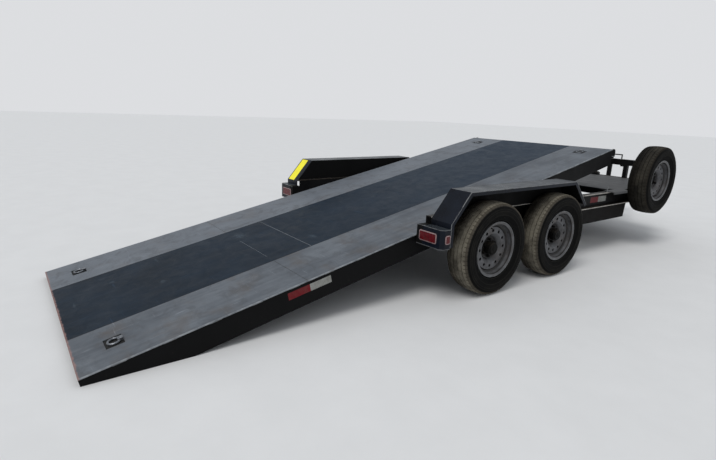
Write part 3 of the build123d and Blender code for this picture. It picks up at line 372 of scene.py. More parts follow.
def tape_look(name, bright, dim, dirt_and_shade=0.5):
    """Reflective tape with small sealed cells, dusty."""
    look = Look(name, rough=0.4, gloss=0.2)
    flat = look.coords()
    cells = look.made("ShaderNodeTexVoronoi", "Distance", {"Vector": flat, "Scale": 190.0},
                      feature="DISTANCE_TO_EDGE")
    edge = cells.ramp(0.0, 0.12)
    dust = look.noise(flat, 16.0, 6.0, 0.65).ramp(0.42, 0.7, 0.0, dirt_and_shade)
    tone = look.mix(dust, look.mix(edge, dim, bright), colour(84, 78, 70))
    return look.done(tone, height=edge, strength=0.15, distance=0.0005)


DUST = colour(70, 64, 57)
BLACK = (colour(11, 11, 12), colour(19, 19, 20), DUST)
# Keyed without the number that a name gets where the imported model's own material holds it
LOOKS = {look.name.partition(".")[0]: look for look in (
    plate_look("strip_steel", colour(77, 82, 89), colour(109, 115, 122), colour(78, 75, 72), strip_marks,
               scratch=0.4),
    plate_look("centre_steel", colour(5, 18, 30), colour(23, 37, 51), colour(44, 56, 68), centre_marks,
               scratch=0.8, rough=0.5),
    plate_look("platform_steel", colour(68, 69, 70), colour(92, 93, 95), colour(52, 49, 45),
               lambda look, tone, flat: tone, lean=0, scratch=0.35),
    fender_look(),
    ring_look(),
    lens_look(),
    paint_look("deck_frame_paint", colour(9, 9, 10), colour(15, 15, 16), DUST, 0.45, 0.5),
    paint_look("frame_black", *BLACK, 0.6, 0.42),
    # Painted highlight on the rails' flange lips.
    paint_look("rail_black", *BLACK, 0.6, 0.42, (1.0058, colour(176, 172, 166))),
    # Dimmer dust than the frame's: painted shade on the tongue beams under the rails.
    paint_look("tongue_black_shaded", colour(10, 9, 9), colour(19, 17, 16), colour(48, 44, 40), 0.6, 0.65),
    paint_look("hub_black", colour(10, 10, 10), colour(18, 17, 16), DUST, 0.4, 0.5),
    paint_look("coupler_paint", colour(13, 13, 14), colour(24, 24, 25), DUST, 0.5, 0.4),
    paint_look("soft_black", colour(18, 18, 18), colour(28, 28, 27), DUST, 0.5, 0.7),
    metal_look("spring_steel", colour(34, 30, 27), colour(52, 46, 41), colour(78, 58, 44),
               0.7, 0.2, (0.45, 0.68)),
    metal_look("rod_chrome", colour(150, 152, 155), colour(190, 192, 196), colour(96, 92, 86),
               0.16, 1.0, (0.6, 0.8), (60, 1.5, 60)),
    metal_look("zinc_steel", colour(132, 136, 138), colour(164, 168, 170), colour(96, 94, 88),
               0.4, 0.6, (0.52, 0.75)),
    metal_look("weld_bead", colour(20, 19, 18), colour(38, 35, 32), colour(60, 48, 38),
               0.5, 0.3, (0.5, 0.7)),
    metal_look("bare_bead", colour(84, 86, 88), colour(120, 122, 124), colour(74, 62, 52),
               0.45, 0.4, (0.5, 0.7)),
    metal_look("bright_bead", colour(104, 110, 116), colour(134, 140, 146), colour(70, 68, 66),
               0.45, 0.3, (0.48, 0.68)),
    # Light pink that paints the red lenses' pale highlight on their rings.
    metal_look("lamp_bezel_highlight", colour(128, 108, 108), colour(168, 142, 142), colour(84, 66, 64),
               0.35, 0.3, (0.5, 0.7)),
    metal_look("rubbed_edge", colour(92, 94, 96), colour(126, 128, 130), colour(36, 36, 37),
               0.35, 0.3, (0.5, 0.7)),
    rubber_look("tyre_rubber", 1.0),
    rubber_look("spare_rubber", 0.14),
    tape_look("tape_red", colour(116, 10, 24), colour(76, 5, 14), 0.3),
    tape_look("tape_white", colour(156, 158, 154), colour(118, 119, 116)),
    tape_look("label_yellow", colour(255, 246, 60), colour(244, 232, 48), 0.12),
    rim_look("rim_silver_rear", WHEEL_X, AXLE_Y["rear"], AXLE_Z),
    rim_look("rim_silver_front", WHEEL_X, AXLE_Y["front"], AXLE_Z),
    rim_look("rim_silver_spare", *SPARE),
)}

# The look of each node, found by the longest start of its name
NODE_LOOKS = {
    "deck_strip_": "strip_steel", "deck_plate_centre": "centre_steel", "platform_plate": "platform_steel",
    "deck_beam_": "deck_frame_paint", "deck_joists": "deck_frame_paint", "deck_end_bars": "deck_frame_paint",
    "deck_pivot_tube": "deck_frame_paint", "cylinder_bracket": "deck_frame_paint",
    "fender_": "fender_black", "lamp_box_": "fender_black", "hub_": "hub_black", "tail_lamps": "red_lens",
    "leaf_springs": "spring_steel", "spring_hangers": "frame_black", "axle_": "hub_black",
    "tie_down_rings": "ring_steel", "cylinder_rod": "rod_chrome", "cylinder_barrel": "frame_black",
    "jack_body": "coupler_paint", "jack_leg": "zinc_steel", "coupler": "coupler_paint",
    "spare_mount": "frame_black", "stop_rail": "frame_black", "frame_": "frame_black",
    "frame_rail_": "rail_black", "tongue_beams": "tongue_black_shaded", "pivot_shaft": "zinc_steel",
    "tyre_": "tyre_rubber", "spare_tyre": "spare_rubber", "spare_rim": "rim_silver_spare",
    "rim_left_rear": "rim_silver_rear", "rim_right_rear": "rim_silver_rear",
    "rim_left_front": "rim_silver_front", "rim_right_front": "rim_silver_front",
}
for name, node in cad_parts.items():
    key = max((k for k in NODE_LOOKS if name.startswith(k)), key=len)
    node.data.materials.clear()
    node.data.materials.append(LOOKS[NODE_LOOKS[key]])


# Meshes
class Shape:
    """Points and faces gathered for one piece."""

    def __init__(self):
        self.points = []
        self.faces = []

    def add(self, points, faces, move=None):
        start = len(self.points)
        for point in points:
            point = Vector(point)
            self.points.append(move @ point if move is not None else point)
        self.faces += [[start + k for k in face] for face in faces]

    def weld(self, start, end, radius, move, **ripple):
        """Adds a straight weld bead."""
        self.add(*bead([start, end], radius, **ripple), move)

    def bolt(self, radius, height, direction, place):
        """Adds the head of a hex bolt."""
        self.add(*hex_bolt(radius, height), ON_FRAME @ facing(direction, place))

    def mesh(self, name):
        made = bpy.data.meshes.new(name)
        made.from_pydata([tuple(p) for p in self.points], [], self.faces)
        made.update()
        return made

    def piece(self, name, look, body, smooth=True):
        shown(name, self.mesh(name), look, body, smooth)


def shown(name, mesh, look, body, smooth=True, place=None):
    """An object for a mesh, riding on a body."""
    if not mesh.materials:
        mesh.materials.append(LOOKS[look])
    for face in mesh.polygons:
        face.use_smooth = smooth
    made = bpy.data.objects.new(name, mesh)
    bpy.context.scene.collection.objects.link(made)
    if place is not None:
        made.matrix_world = place
    if smooth:
        mesh.set_sharp_from_angle(angle=math.radians(35))
    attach(made, body)
    return made


def net(rows, round_rows=False, round_columns=False):
    """Faces between rows of points of one length."""
    count = len(rows[0])
    points = [p for row in rows for p in row]
    faces = []
    for i in range(len(rows) if round_rows else len(rows) - 1):
        for k in range(count if round_columns else count - 1):
            a, b = i * count, (i + 1) % len(rows) * count
            faces.append([a + k, a + (k + 1) % count, b + (k + 1) % count, b + k])
    return points, faces


def circle(count):
    """Cosine and sine at even steps around a circle."""
    return [(math.cos(math.tau * k / count), math.sin(math.tau * k / count)) for k in range(count)]


def tube(rows):
    """A body between rings of points, closed at both ends."""
    points, faces = net(rows, round_columns=True)
    count = len(rows[0])
    return points, faces + [list(range(count))[::-1], [len(points) - count + k for k in range(count)]]


def turned(profile, count, cap=True):
    """A body turned about Z from (radius, height) points, low to high, its ends closed if cap is on."""
    rows = [[(r * c, r * s, z) for c, s in circle(count)] for r, z in profile]
    return tube(rows) if cap else net(rows, round_columns=True)


def block(size, edge):
    """A block with its edges taken off, around its own middle."""
    hx, hy, hz = (s / 2 for s in size)
    rows = []
    for z, inset in ((-hz, edge), (-hz + edge, 0), (hz - edge, 0), (hz, edge)):
        x, y = hx - inset, hy - inset
        rows.append([(-x + edge, -y, z), (x - edge, -y, z), (x, -y + edge, z), (x, y - edge, z),
                     (x - edge, y, z), (-x + edge, y, z), (-x, y - edge, z), (-x, -y + edge, z)])
    return tube(rows)


def facing(direction, place):
    """A move that turns +Z to a direction and sets the origin at a place."""
    return Matrix.Translation(place) @ Vector(direction).to_track_quat("Z", "Y").to_matrix().to_4x4()


def hex_bolt(radius, height):
    """A hex head with its corners taken off, on a washer."""
    washer = turned([(radius * 1.45, 0), (radius * 1.45, height * 0.16), (radius * 1.36, height * 0.22)], 24)
    rows = [[(radius * share * c, radius * share * s, z) for c, s in circle(6)]
            for share, z in ((1.0, height * 0.22), (1.0, height * 0.86), (0.86, height))]
    points, faces = net(rows, round_columns=True)
    faces.append([len(points) - 6 + k for k in range(6)])
    start = len(washer[0])
    return washer[0] + points, washer[1] + [[start + k for k in f] for f in faces]


def bead(path, radius, step=0.004, count=7, seed=0.0):
    """A weld bead along a path, with a ripple at each step."""
    rows = []
    for a, b in zip(path, path[1:]):
        a, b = Vector(a), Vector(b)
        along = b - a
        side = along.orthogonal().normalized()
        other = along.normalized().cross(side)
        steps = max(2, round(along.length / step) * 2)
        for k in range(steps + 1):
            wave = 0.86 + 0.14 * (k % 2) + 0.07 * math.sin(k * 1.7 + seed)
            size = radius * wave * min(1.0, 0.25 + min(k, steps - k) / 2)
            centre = a + along * (k / steps)
            rows.append([centre + (side * c + other * s) * size for c, s in circle(count)])
    return tube(rows)


def pipe(path, radius, count=8):
    """A round bar bent along a path."""
    path = [Vector(p) for p in path]
    rows = []
    side = None
    for k, point in enumerate(path):
        ahead = (path[min(k + 1, len(path) - 1)] - path[max(k - 1, 0)]).normalized()
        side = ahead.orthogonal() if side is None else side - ahead * side.dot(ahead)
        side.normalize()
        other = ahead.cross(side)
        rows.append([point + (side * c + other * s) * radius for c, s in circle(count)])
    return tube(rows)


# Tyres
TYRE_RADIUS = 0.376
BEAD_RADIUS = 0.2083
HOOK_RADIUS = 0.2263
HALF_BEAD = 0.0759
PITCHES = 66
GROOVES = (0.0555, 0.0185, -0.0185, -0.0555)
GROOVE_HALF = 0.0038
GROOVE_DEPTH = 0.0075
SLOT_DEPTH = 0.0045
SIPE_DEPTH = 0.0028
ZIGZAG = 0.0016
# Angles of the columns in a pitch, as shares of it, and the share of the slot's and sipe's depth at each
PITCH_SHARES = (0.0, 0.03, 0.15, 0.18, 0.42, 0.62, 0.8)
SLOT_SHARES = (0.0, 1.0, 1.0, 0.0, 0.0, 0.0, 0.0)
SIPE_SHARES = (0.0, 0.0, 0.0, 0.0, 0.0, 1.0, 0.0)


def sidewall():
    """Points of the outer sidewall from the rim to the shoulder as (across, radius), with its ridges."""
    start, middle, end = Vector((HALF_BEAD, HOOK_RADIUS)), Vector((0.1080, 0.292)), Vector((0.1003, 0.346))
    # Height of the ridges by the share of the way out
    ridges = {0.06: 0.0, 0.09: 0.003, 0.15: 0.003, 0.18: 0.0, 0.40: 0.0, 0.415: 0.0012, 0.43: 0.0,
              0.66: 0.0, 0.675: 0.0012, 0.69: 0.0, 0.80: 0.0, 0.82: 0.0014, 0.97: 0.0014, 1.0: 0.0}
    shares = sorted(set(ridges) | {0.0, 0.28, 0.53, 0.6, 0.74, 0.89})
    points = []
    for s in shares:
        # A parabola through the three points
        at = start * (1 - s) * (1 - 2 * s) + middle * 4 * s * (1 - s) + end * s * (2 * s - 1)
        lift = ridges.get(s, 0.0014 if s == 0.89 else 0.0)
        away = Vector((1.0, 0.35 * (s * 2 - 1))).normalized()
        points.append((min(at.x + away.x * lift, 0.1098), at.y + away.y * lift))
    return points


def tread():
    """Points across the tread as (across, radius, kind): kind names how the pitch cuts that point."""
    def crown(x):
        return TYRE_RADIUS - 0.008 * (x / 0.089) ** 2
    points = [(0.0975, 0.3515, "edge"), (0.0930, 0.3600, "edge"), (0.0890, 0.3665, "edge"),
              (0.0825, crown(0.0825), "edge"), (0.0705, crown(0.0705), "edge"),
              (0.0692, crown(0.0692), "top")]
    for k, middle in enumerate(GROOVES):
        low = crown(middle) - GROOVE_DEPTH
        points += [(middle + GROOVE_HALF, crown(middle + GROOVE_HALF), "zig"),
                   (middle + GROOVE_HALF * 0.72, low, "zig"), (middle - GROOVE_HALF * 0.72, low, "zig"),
                   (middle - GROOVE_HALF, crown(middle - GROOVE_HALF), "zig")]
        if k + 1 < len(GROOVES):
            after = GROOVES[k + 1]
            between = (middle + after) / 2
            points += [(middle - GROOVE_HALF * 1.6, crown(middle), "top"),
                       (middle - GROOVE_HALF * 1.65, crown(middle), "rib"), (between, crown(between), "rib"),
                       (after + GROOVE_HALF * 1.65, crown(after), "rib"),
                       (after + GROOVE_HALF * 1.6, crown(after), "top")]
    points += [(-x, r, kind) for x, r, kind in points[5::-1]]
    return points


def tyre_mesh():
    """A tyre about the X axis with ribs, cross sipes, shoulder slots and sidewall ridges."""
    wall = sidewall()
    profile = [(x, r, "wall") for x, r in wall] + tread() + [(-x, r, "wall") for x, r in reversed(wall)]
    profile += [(-HALF_BEAD, BEAD_RADIUS, "wall"), (HALF_BEAD, BEAD_RADIUS, "wall")]
    shape = Shape()
    rows = []
    for pitch in range(PITCHES):
        for share, slot, sipe in zip(PITCH_SHARES, SLOT_SHARES, SIPE_SHARES):
            angle = math.tau * (pitch + share) / PITCHES
            swing = (abs((share * 2) % 2 - 1) * 2 - 1) * ZIGZAG
            row = []
            for x, r, kind in profile:
                if kind == "edge":
                    r -= slot * SLOT_DEPTH
                elif kind == "rib":
                    r -= sipe * SIPE_DEPTH
                elif kind == "zig":
                    x += swing
                row.append((x, r * math.cos(angle), r * math.sin(angle)))
            rows.append(row)
    shape.add(*net(rows, round_rows=True, round_columns=True))
    mesh = shape.mesh("tyre_tread")
    mesh.materials.append(LOOKS["tyre_rubber"])
    return mesh


def make_tyres():
    """Tyres with their tread in place of the plain ones, the spare's darker than the others."""
    mesh = tyre_mesh()
    for side, side_name in SIDE_NAMES:
        for row, y in AXLE_Y.items():
            place = Matrix.Translation((side * WHEEL_X, y - MIDDLE, AXLE_Z))
            if side < 0:
                place = place @ Matrix.Rotation(math.pi, 4, "Z")
            tyre = shown(f"tread_{side_name}_{row}", mesh, "tyre_rubber", f"wheel_{side_name}_{row}",
                         True, place)
            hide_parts(f"tyre_{side_name}_{row}")
    dark = mesh.copy()
    dark.materials[0] = LOOKS["spare_rubber"]
    spare = shown("tread_spare", dark, "spare_rubber", "frame", True,
                  ON_FRAME @ Matrix.Translation(SPARE))
    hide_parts("spare_tyre")


def make_wheel_trim():
    """Valve stem, rim lip roll, disc weld and cap ring of each wheel, and of the spare."""
    places = [(side, side * WHEEL_X, y, AXLE_Z, row, f"wheel_{name}_{row}")
              for side, name in SIDE_NAMES for row, y in AXLE_Y.items()]
    places.append((1, *SPARE, "spare", "frame"))
    for side, x, y, z, row, body in places:
        centre = Matrix.Translation((x, y - MIDDLE, z)) @ Matrix.Diagonal((side, 1, 1, 1))
        tag = body + "_" + row
        lip = Shape()
        roll = [(LIP_X + LIP_ROUND * c, LIP_RADIUS + LIP_ROUND * s) for c, s in circle(8)]
        rows = [[(across, r * around, r * up) for across, r in roll] for around, up in circle(96)]
        lip.add(*net(rows, round_rows=True, round_columns=True), centre)
        lip.piece("rim_lip_" + tag, "rubbed_edge", body)
        trim = Shape()
        turn = Matrix.Rotation(0.7 + y, 4, "X")
        stem = turned([(0.0058, 0), (0.0062, 0.006), (0.0042, 0.010), (0.0036, 0.026), (0.0042, 0.027),
                       (0.0042, 0.037), (0.0030, 0.039)], 14)
        trim.add(*stem, centre @ turn @ facing((0.94, 0.0, -0.34), (0.0435, 0, 0.1795)))
        trim.piece("valve_" + tag, "soft_black", body)
        weld = Shape()
        for k in range(8):
            start = math.tau * (k + 0.15) / 8
            path = [(0.0065, DISC_WELD * math.cos(start + 0.036 * n), DISC_WELD * math.sin(start + 0.036 * n))
                    for n in range(9)]
            weld.add(*bead(path, 0.0032, count=6, seed=k), centre)
        weld.piece("disc_weld_" + tag, "bare_bead", body)
        if row == "spare":
            continue
        cap = Shape()
        ring = turned([(0.0475, 0), (0.0475, 0.004), (0.0462, 0.0055), (0.0462, 0.0075), (0.0455, 0.009)], 40)
        cap.add(*ring, centre @ facing((1, 0, 0), (0.0515, 0, 0)))
        plug = turned([(0.020, 0), (0.020, 0.003), (0.017, 0.0045), (0.006, 0.0045), (0.005, 0.0058)], 28)
        cap.add(*plug, centre @ facing((1, 0, 0), (0.0678, 0, 0)))
        cap.piece("cap_trim_" + tag, "soft_black", body)


def rounded(width, height, corner, steps):
    """Points around a rectangle with round corners, about its own middle."""
    points = []
    for k, (sx, sy) in enumerate(((1, 1), (-1, 1), (-1, -1), (1, -1))):
        for n in range(steps):
            t = math.pi / 2 * (k + n / (steps - 1))
            points.append((sx * (width / 2 - corner) + corner * math.cos(t),
                           sy * (height / 2 - corner) + corner * math.sin(t)))
    return points


def rounded_patch(width, height, corner, thick):
    """A thin plate in X and Y with round corners, from Z = 0 up, its top edge softened."""
    outline = rounded(width, height, corner, 5)
    return tube([[(x * share, y * share, z) for x, y in outline]
                 for share, z in ((1, 0), (1, thick * 0.7), (0.995, thick))])


def panel_move(across, up, place):
    """A move that lays X along one direction and Y along another, at a place."""
    across, up = Vector(across).normalized(), Vector(up).normalized()
    out = across.cross(up)
    turn = Matrix((across, up, out)).transposed().to_4x4()
    return Matrix.Translation(place) @ turn


def make_tapes():
    """Red and white tape on the deck's sides and on the rails by the platform, and the plain yellow label."""
    # Body, move, X, height of the middle, width
    deck = ("deck", ON_DECK, BEAM_OUTER, 0.598, 0.050)
    rail = ("frame", ON_FRAME, 0.958, 0.580, 0.060)
    spots = ((*deck, -2.173, -2.008, "tape_red"), (*deck, -2.008, -1.843, "tape_white"),
             (*rail, 1.395, 1.553, "tape_red"), (*rail, 1.553, 1.718, "tape_white"))
    for side, side_name in SIDE_NAMES:
        for k, (body, move, x, z, high, start, end, look) in enumerate(spots):
            tape = Shape()
            lay = panel_move((0, side, 0), (0, 0, 1), (side * (x + 0.0001), (start + end) / 2, z))
            tape.add(*rounded_patch(end - start, high, 0.002, 0.0006), move @ lay)
            tape.piece(f"tape_{side_name}_{k}", look, body, False)
    label = Shape()
    slope = Vector((0, 0.185, 0.216)).normalized()
    out = Vector((0, -slope.z, slope.y))
    lay = panel_move(out.cross(slope), slope, Vector((-1.141, -0.8975, 0.748)) + out * 0.0003)
    label.add(*rounded_patch(0.113, 0.270, 0.006, 0.0007), ON_FRAME @ lay)
    label.piece("label_plain", "label_yellow", "frame", False)


def make_fender_trim():
    """Rolled outer edge of both fenders, and welds along the rail and at the lamp box."""
    for side, side_name in SIDE_NAMES:
        edge = Shape()
        path = []
        for (ay, az), (by, bz) in zip(FENDER_LINE, FENDER_LINE[1:]):
            steps = max(2, round(math.hypot(by - ay, bz - az) / 0.05))
            path += [(ay + (by - ay) * k / steps, az + (bz - az) * k / steps) for k in range(steps)]
        path.append(FENDER_LINE[-1])
        edge.add(*pipe([(side * (FENDER_OUTER - ROLL), y + (ROLL if z < 0.75 and y < 0 else 0), z - ROLL)
                        for y, z in path], 0.0032), ON_FRAME)
        edge.piece("fender_edge_" + side_name, "rubbed_edge", "frame")
        welds = Shape()
        x = side * (RAIL_OUTER + 0.0035)
        for start in [-0.93 + 0.235 * k for k in range(8)]:
            welds.weld((x, start, 0.6575), (x, start + 0.09, 0.6575), 0.0042, ON_FRAME, seed=start)
        x, back = side * (RAIL_OUTER + 0.001), FENDER_LINE[0][0] - 0.0005
        for z in (0.50, 0.545, 0.585):
            welds.weld((x, back, z - 0.012), (x, back, z + 0.012), 0.003, ON_FRAME, seed=z)
        welds.piece("fender_weld_" + side_name, "weld_bead", "frame")


def make_lamp_trim():
    """Rings around the lamps, in a light pink that paints the lenses' highlight, and the lamp boxes' rubbed
    edges.
    """
    for side, side_name in SIDE_NAMES:
        edge = Shape()
        corners = ((RAIL_INNER + 0.002, LAMP_BACK), (FENDER_OUTER - 0.025, LAMP_BACK),
                   (FENDER_OUTER, LAMP_BACK + 0.025), (FENDER_OUTER, -0.992))
        for z in (0.4575, 0.5995):
            edge.add(*pipe([(side * x, y, z) for x, y in corners], 0.0019), ON_FRAME)
        edge.piece("lamp_box_edge_" + side_name, "rubbed_edge", "frame")
        lamps = ((1.0695, LAMP_BACK, (1, 0, 0), 0.168, 0.070, "tail"),
                 (1.212, LAMP_BACK + 0.055, (0, side, 0), 0.044, 0.058, "side"))
        for x, y, across, width, height, kind in lamps:
            rows = []
            for grow, lift in ((0.004, 0.0), (0.004, 0.003), (0.0015, 0.0045),
                               (-0.0035, 0.0045), (-0.0035, 0.0)):
                outline = rounded(width + 2 * grow, height + 2 * grow, 0.010 + grow, 5)
                rows.append([(px, py, lift + 0.0014) for px, py in outline])
            ring = Shape()
            lay = panel_move(across, (0, 0, 1), (side * x, y, LAMP_Z))
            ring.add(*net(rows, round_columns=True), ON_FRAME @ lay)
            ring.piece(f"lamp_ring_{side_name}_{kind}", "lamp_bezel_highlight", "frame")


def make_deck_welds():
    """Stitch welds under the deck's edges, and beads at the seams of its plates."""
    for side, side_name in SIDE_NAMES:
        welds = Shape()
        start = DECK_TAIL + 0.16
        x = side * (BEAM_OUTER + 0.0012)
        while start < DECK_FRONT - 0.12:
            welds.weld((x, start, 0.6462), (x, start + 0.075, 0.6462), 0.0042, ON_DECK, count=6, seed=start)
            start += 0.265
        welds.piece("deck_stitch_" + side_name, "bare_bead", "deck")
    seams = Shape()
    for side in SIDES:
        x, z = side * 0.4565, DECK_TOP - 0.0012
        seams.weld((x, DECK_TAIL + 0.01, z), (x, DECK_FRONT - 0.01, z), 0.0022, ON_DECK, step=0.012, count=6)
        start, end = [(side * x, STRIP_SEAM, DECK_TOP - 0.0010) for x in (0.460, 0.936)]
        seams.weld(start, end, 0.0020, ON_DECK, step=0.010, count=6)
    seams.piece("deck_seams", "weld_bead", "deck")
    joint = Shape()
    z = DECK_TOP - 0.0008
    for y, low, high, size in ((CENTRE_SEAM, -0.452, 0.452, 0.0023), (STRIP_SEAM, -0.16, 0.35, 0.0015)):
        joint.weld((low, y, z), (high, y, z), size, ON_DECK, step=0.008, count=6)
    joint.piece("deck_joint", "bright_bead", "deck")


def make_bolts():
    """Hex heads where the type is bolted: coupler, hangers, caps of the pivot shaft and the jack's plate."""
    bolts = Shape()
    for side in SIDES:
        sideways = (side, 0, 0)
        for y, x in ((4.375, 0.0360), (4.445, 0.0328)):
            bolts.bolt(0.010, 0.009, sideways, (side * x, y, 0.428))
        for y, z in ((-0.781, 0.41), (0.0, 0.44), (0.781, 0.41)):
            bolts.bolt(0.0105, 0.010, sideways, (side * (SPRING_X + 0.0348), y, z))
        for turn in (45, 135, 225, 315):
            around, up = 0.024 * math.cos(math.radians(turn)), 0.024 * math.sin(math.radians(turn))
            place = (side * 0.968, PIVOT[0] + around, PIVOT[1] + up)
            bolts.bolt(0.0045, 0.005, sideways, place)
        for y in (3.645, 3.735):
            bolts.bolt(0.009, 0.008, (0, 0, 1), (side * 0.288, y, 0.516))
    bolts.piece("frame_bolts", "zinc_steel", "frame")


def make_frame_welds():
    """Beads at the feet of the posts, along the platform's edge and where the tongue meets its nose plate."""
    welds = Shape()
    foot, half, away = PLATFORM_TOP + 0.001, 0.023, 0.0255
    posts = [(side * 0.480, sum(STOP_RAIL) / 2) for side in SIDES] + [(RAIL_INNER + 0.025, SPARE[1])]
    for x, y in posts:
        for edge in SIDES:
            across, along = x + edge * away, y + edge * away
            welds.weld((across, y - half, foot), (across, y + half, foot), 0.0042, ON_FRAME, seed=x)
            welds.weld((x - half, along, foot), (x + half, along, foot), 0.0042, ON_FRAME, seed=y)
    for side in SIDES:
        x, z = side * (RAIL_OUTER + 0.0005), RAIL_TOP + 0.001
        for k in range(4):
            start = 2.06 + 0.27 * k
            welds.weld((x, start, z), (x, start + 0.08, z), 0.0036, ON_FRAME, seed=k)
        welds.weld((side * 0.0465, 4.3295, 0.36), (side * 0.0465, 4.3295, 0.496), 0.0036, ON_FRAME)
        welds.weld((side * 0.039, 4.3435, 0.394), (side * 0.039, 4.3435, 0.462), 0.0036, ON_FRAME)
    welds.weld((-0.036, 4.3435, 0.4685), (0.036, 4.3435, 0.4685), 0.0036, ON_FRAME)
    welds.piece("frame_welds", "weld_bead", "frame")


def hoop(width, height, thick, long, corner=0.004):
    """A flat band around a rectangle in X and Z, its width along Y, around its own middle."""
    rows = [[(x, y, z) for x, z in rounded(width + 2 * grow, height + 2 * grow, corner + grow, 4)]
            for grow, y in ((0, -long / 2), (thick, -long / 2), (thick, long / 2), (0, long / 2))]
    return net(rows, round_rows=True, round_columns=True)


def make_suspension_trim():
    """Clips around the leaves, and the ribs, bolts and plugs of the brake plates."""
    clips = Shape()
    plates = Shape()
    for side, axle in [(side, axle) for side in SIDES for axle in AXLE_Y.values()]:
        for away in (-CLIP_AWAY, CLIP_AWAY):
            top = AXLE_Z - 0.0383 + SPRING_RISE * (away / SPRING_HALF) ** 2
            slope = math.atan2(2 * SPRING_RISE * away, SPRING_HALF ** 2)
            place = (side * SPRING_X, axle + away, top - 0.016)
            lay = Matrix.Translation(place) @ Matrix.Rotation(slope, 4, "X")
            clips.add(*hoop(0.0446, 0.0335, 0.0028, 0.022), ON_FRAME @ lay)
            clips.add(*hex_bolt(0.0055, 0.005), ON_FRAME @ lay @ facing((side, 0, 0), (side * 0.0246, 0, 0)))
        face = ON_FRAME @ facing((-side, 0, 0), (side * 1.0438, axle, AXLE_Z))
        rib = [(0.152, 0), (0.152, 0.0015), (0.146, 0.0035), (0.128, 0.0035), (0.122, 0.0)]
        plates.add(*turned(rib, 48, cap=False), face)
        spots = [(hex_bolt(0.008, 0.007), 0.064, math.tau * (k + 0.5) / 4) for k in range(4)]
        plug = turned([(0.011, 0), (0.011, 0.002), (0.007, 0.004), (0.003, 0.004)], 18)
        spots += [(plug, 0.100, turn) for turn in (-1.35, -1.79)]
        for fitting, away, turn in spots:
            place = (side * 1.0438, axle + away * math.cos(turn), AXLE_Z + away * math.sin(turn))
            plates.add(*fitting, ON_FRAME @ facing((-side, 0, 0), place))
    clips.piece("spring_clips", "spring_steel", "frame")
    plates.piece("brake_plate_trim", "soft_black", "frame")


def make_cylinder_trim():
    """Gland ring, weld rings and two ports with plugs on the barrel, and a grease nipple at its eye."""
    foot = Vector(CYLINDER_FOOT)
    head = LEVEL_TO_REST @ (ON_FRAME @ Vector(CYLINDER_HEAD)) - ON_FRAME.translation
    along = (head - foot).normalized()
    out = Vector((0, -along.z, along.y))
    trim = Shape()
    for at, radius, long in ((0.046, 0.0306, 0.006), (0.525, 0.0312, 0.006), (0.5535, 0.0352, 0.005)):
        outer = radius + 0.0016
        ring = turned([(radius - 0.001, 0), (outer, long * 0.3), (outer, long * 0.7), (radius - 0.001, long)],
                      40, cap=False)
        trim.add(*ring, ON_FRAME @ facing(along, foot + along * at))
    trim.piece("cylinder_rings", "weld_bead", "cylinder_barrel")
    ports = Shape()
    for at in (0.090, 0.495):
        base = foot + along * at + out * 0.028
        ports.add(*turned([(0.013, 0), (0.013, 0.008), (0.0115, 0.010)], 24), ON_FRAME @ facing(out, base))
        ports.bolt(0.0085, 0.009, out, base + out * 0.010)
    nipple = turned([(0.0045, 0), (0.0045, 0.004), (0.0025, 0.006), (0.0036, 0.009), (0.0015, 0.011)], 12)
    ports.add(*nipple, ON_FRAME @ facing(out, foot + out * 0.0258))
    ports.piece("cylinder_ports", "zinc_steel", "cylinder_barrel")


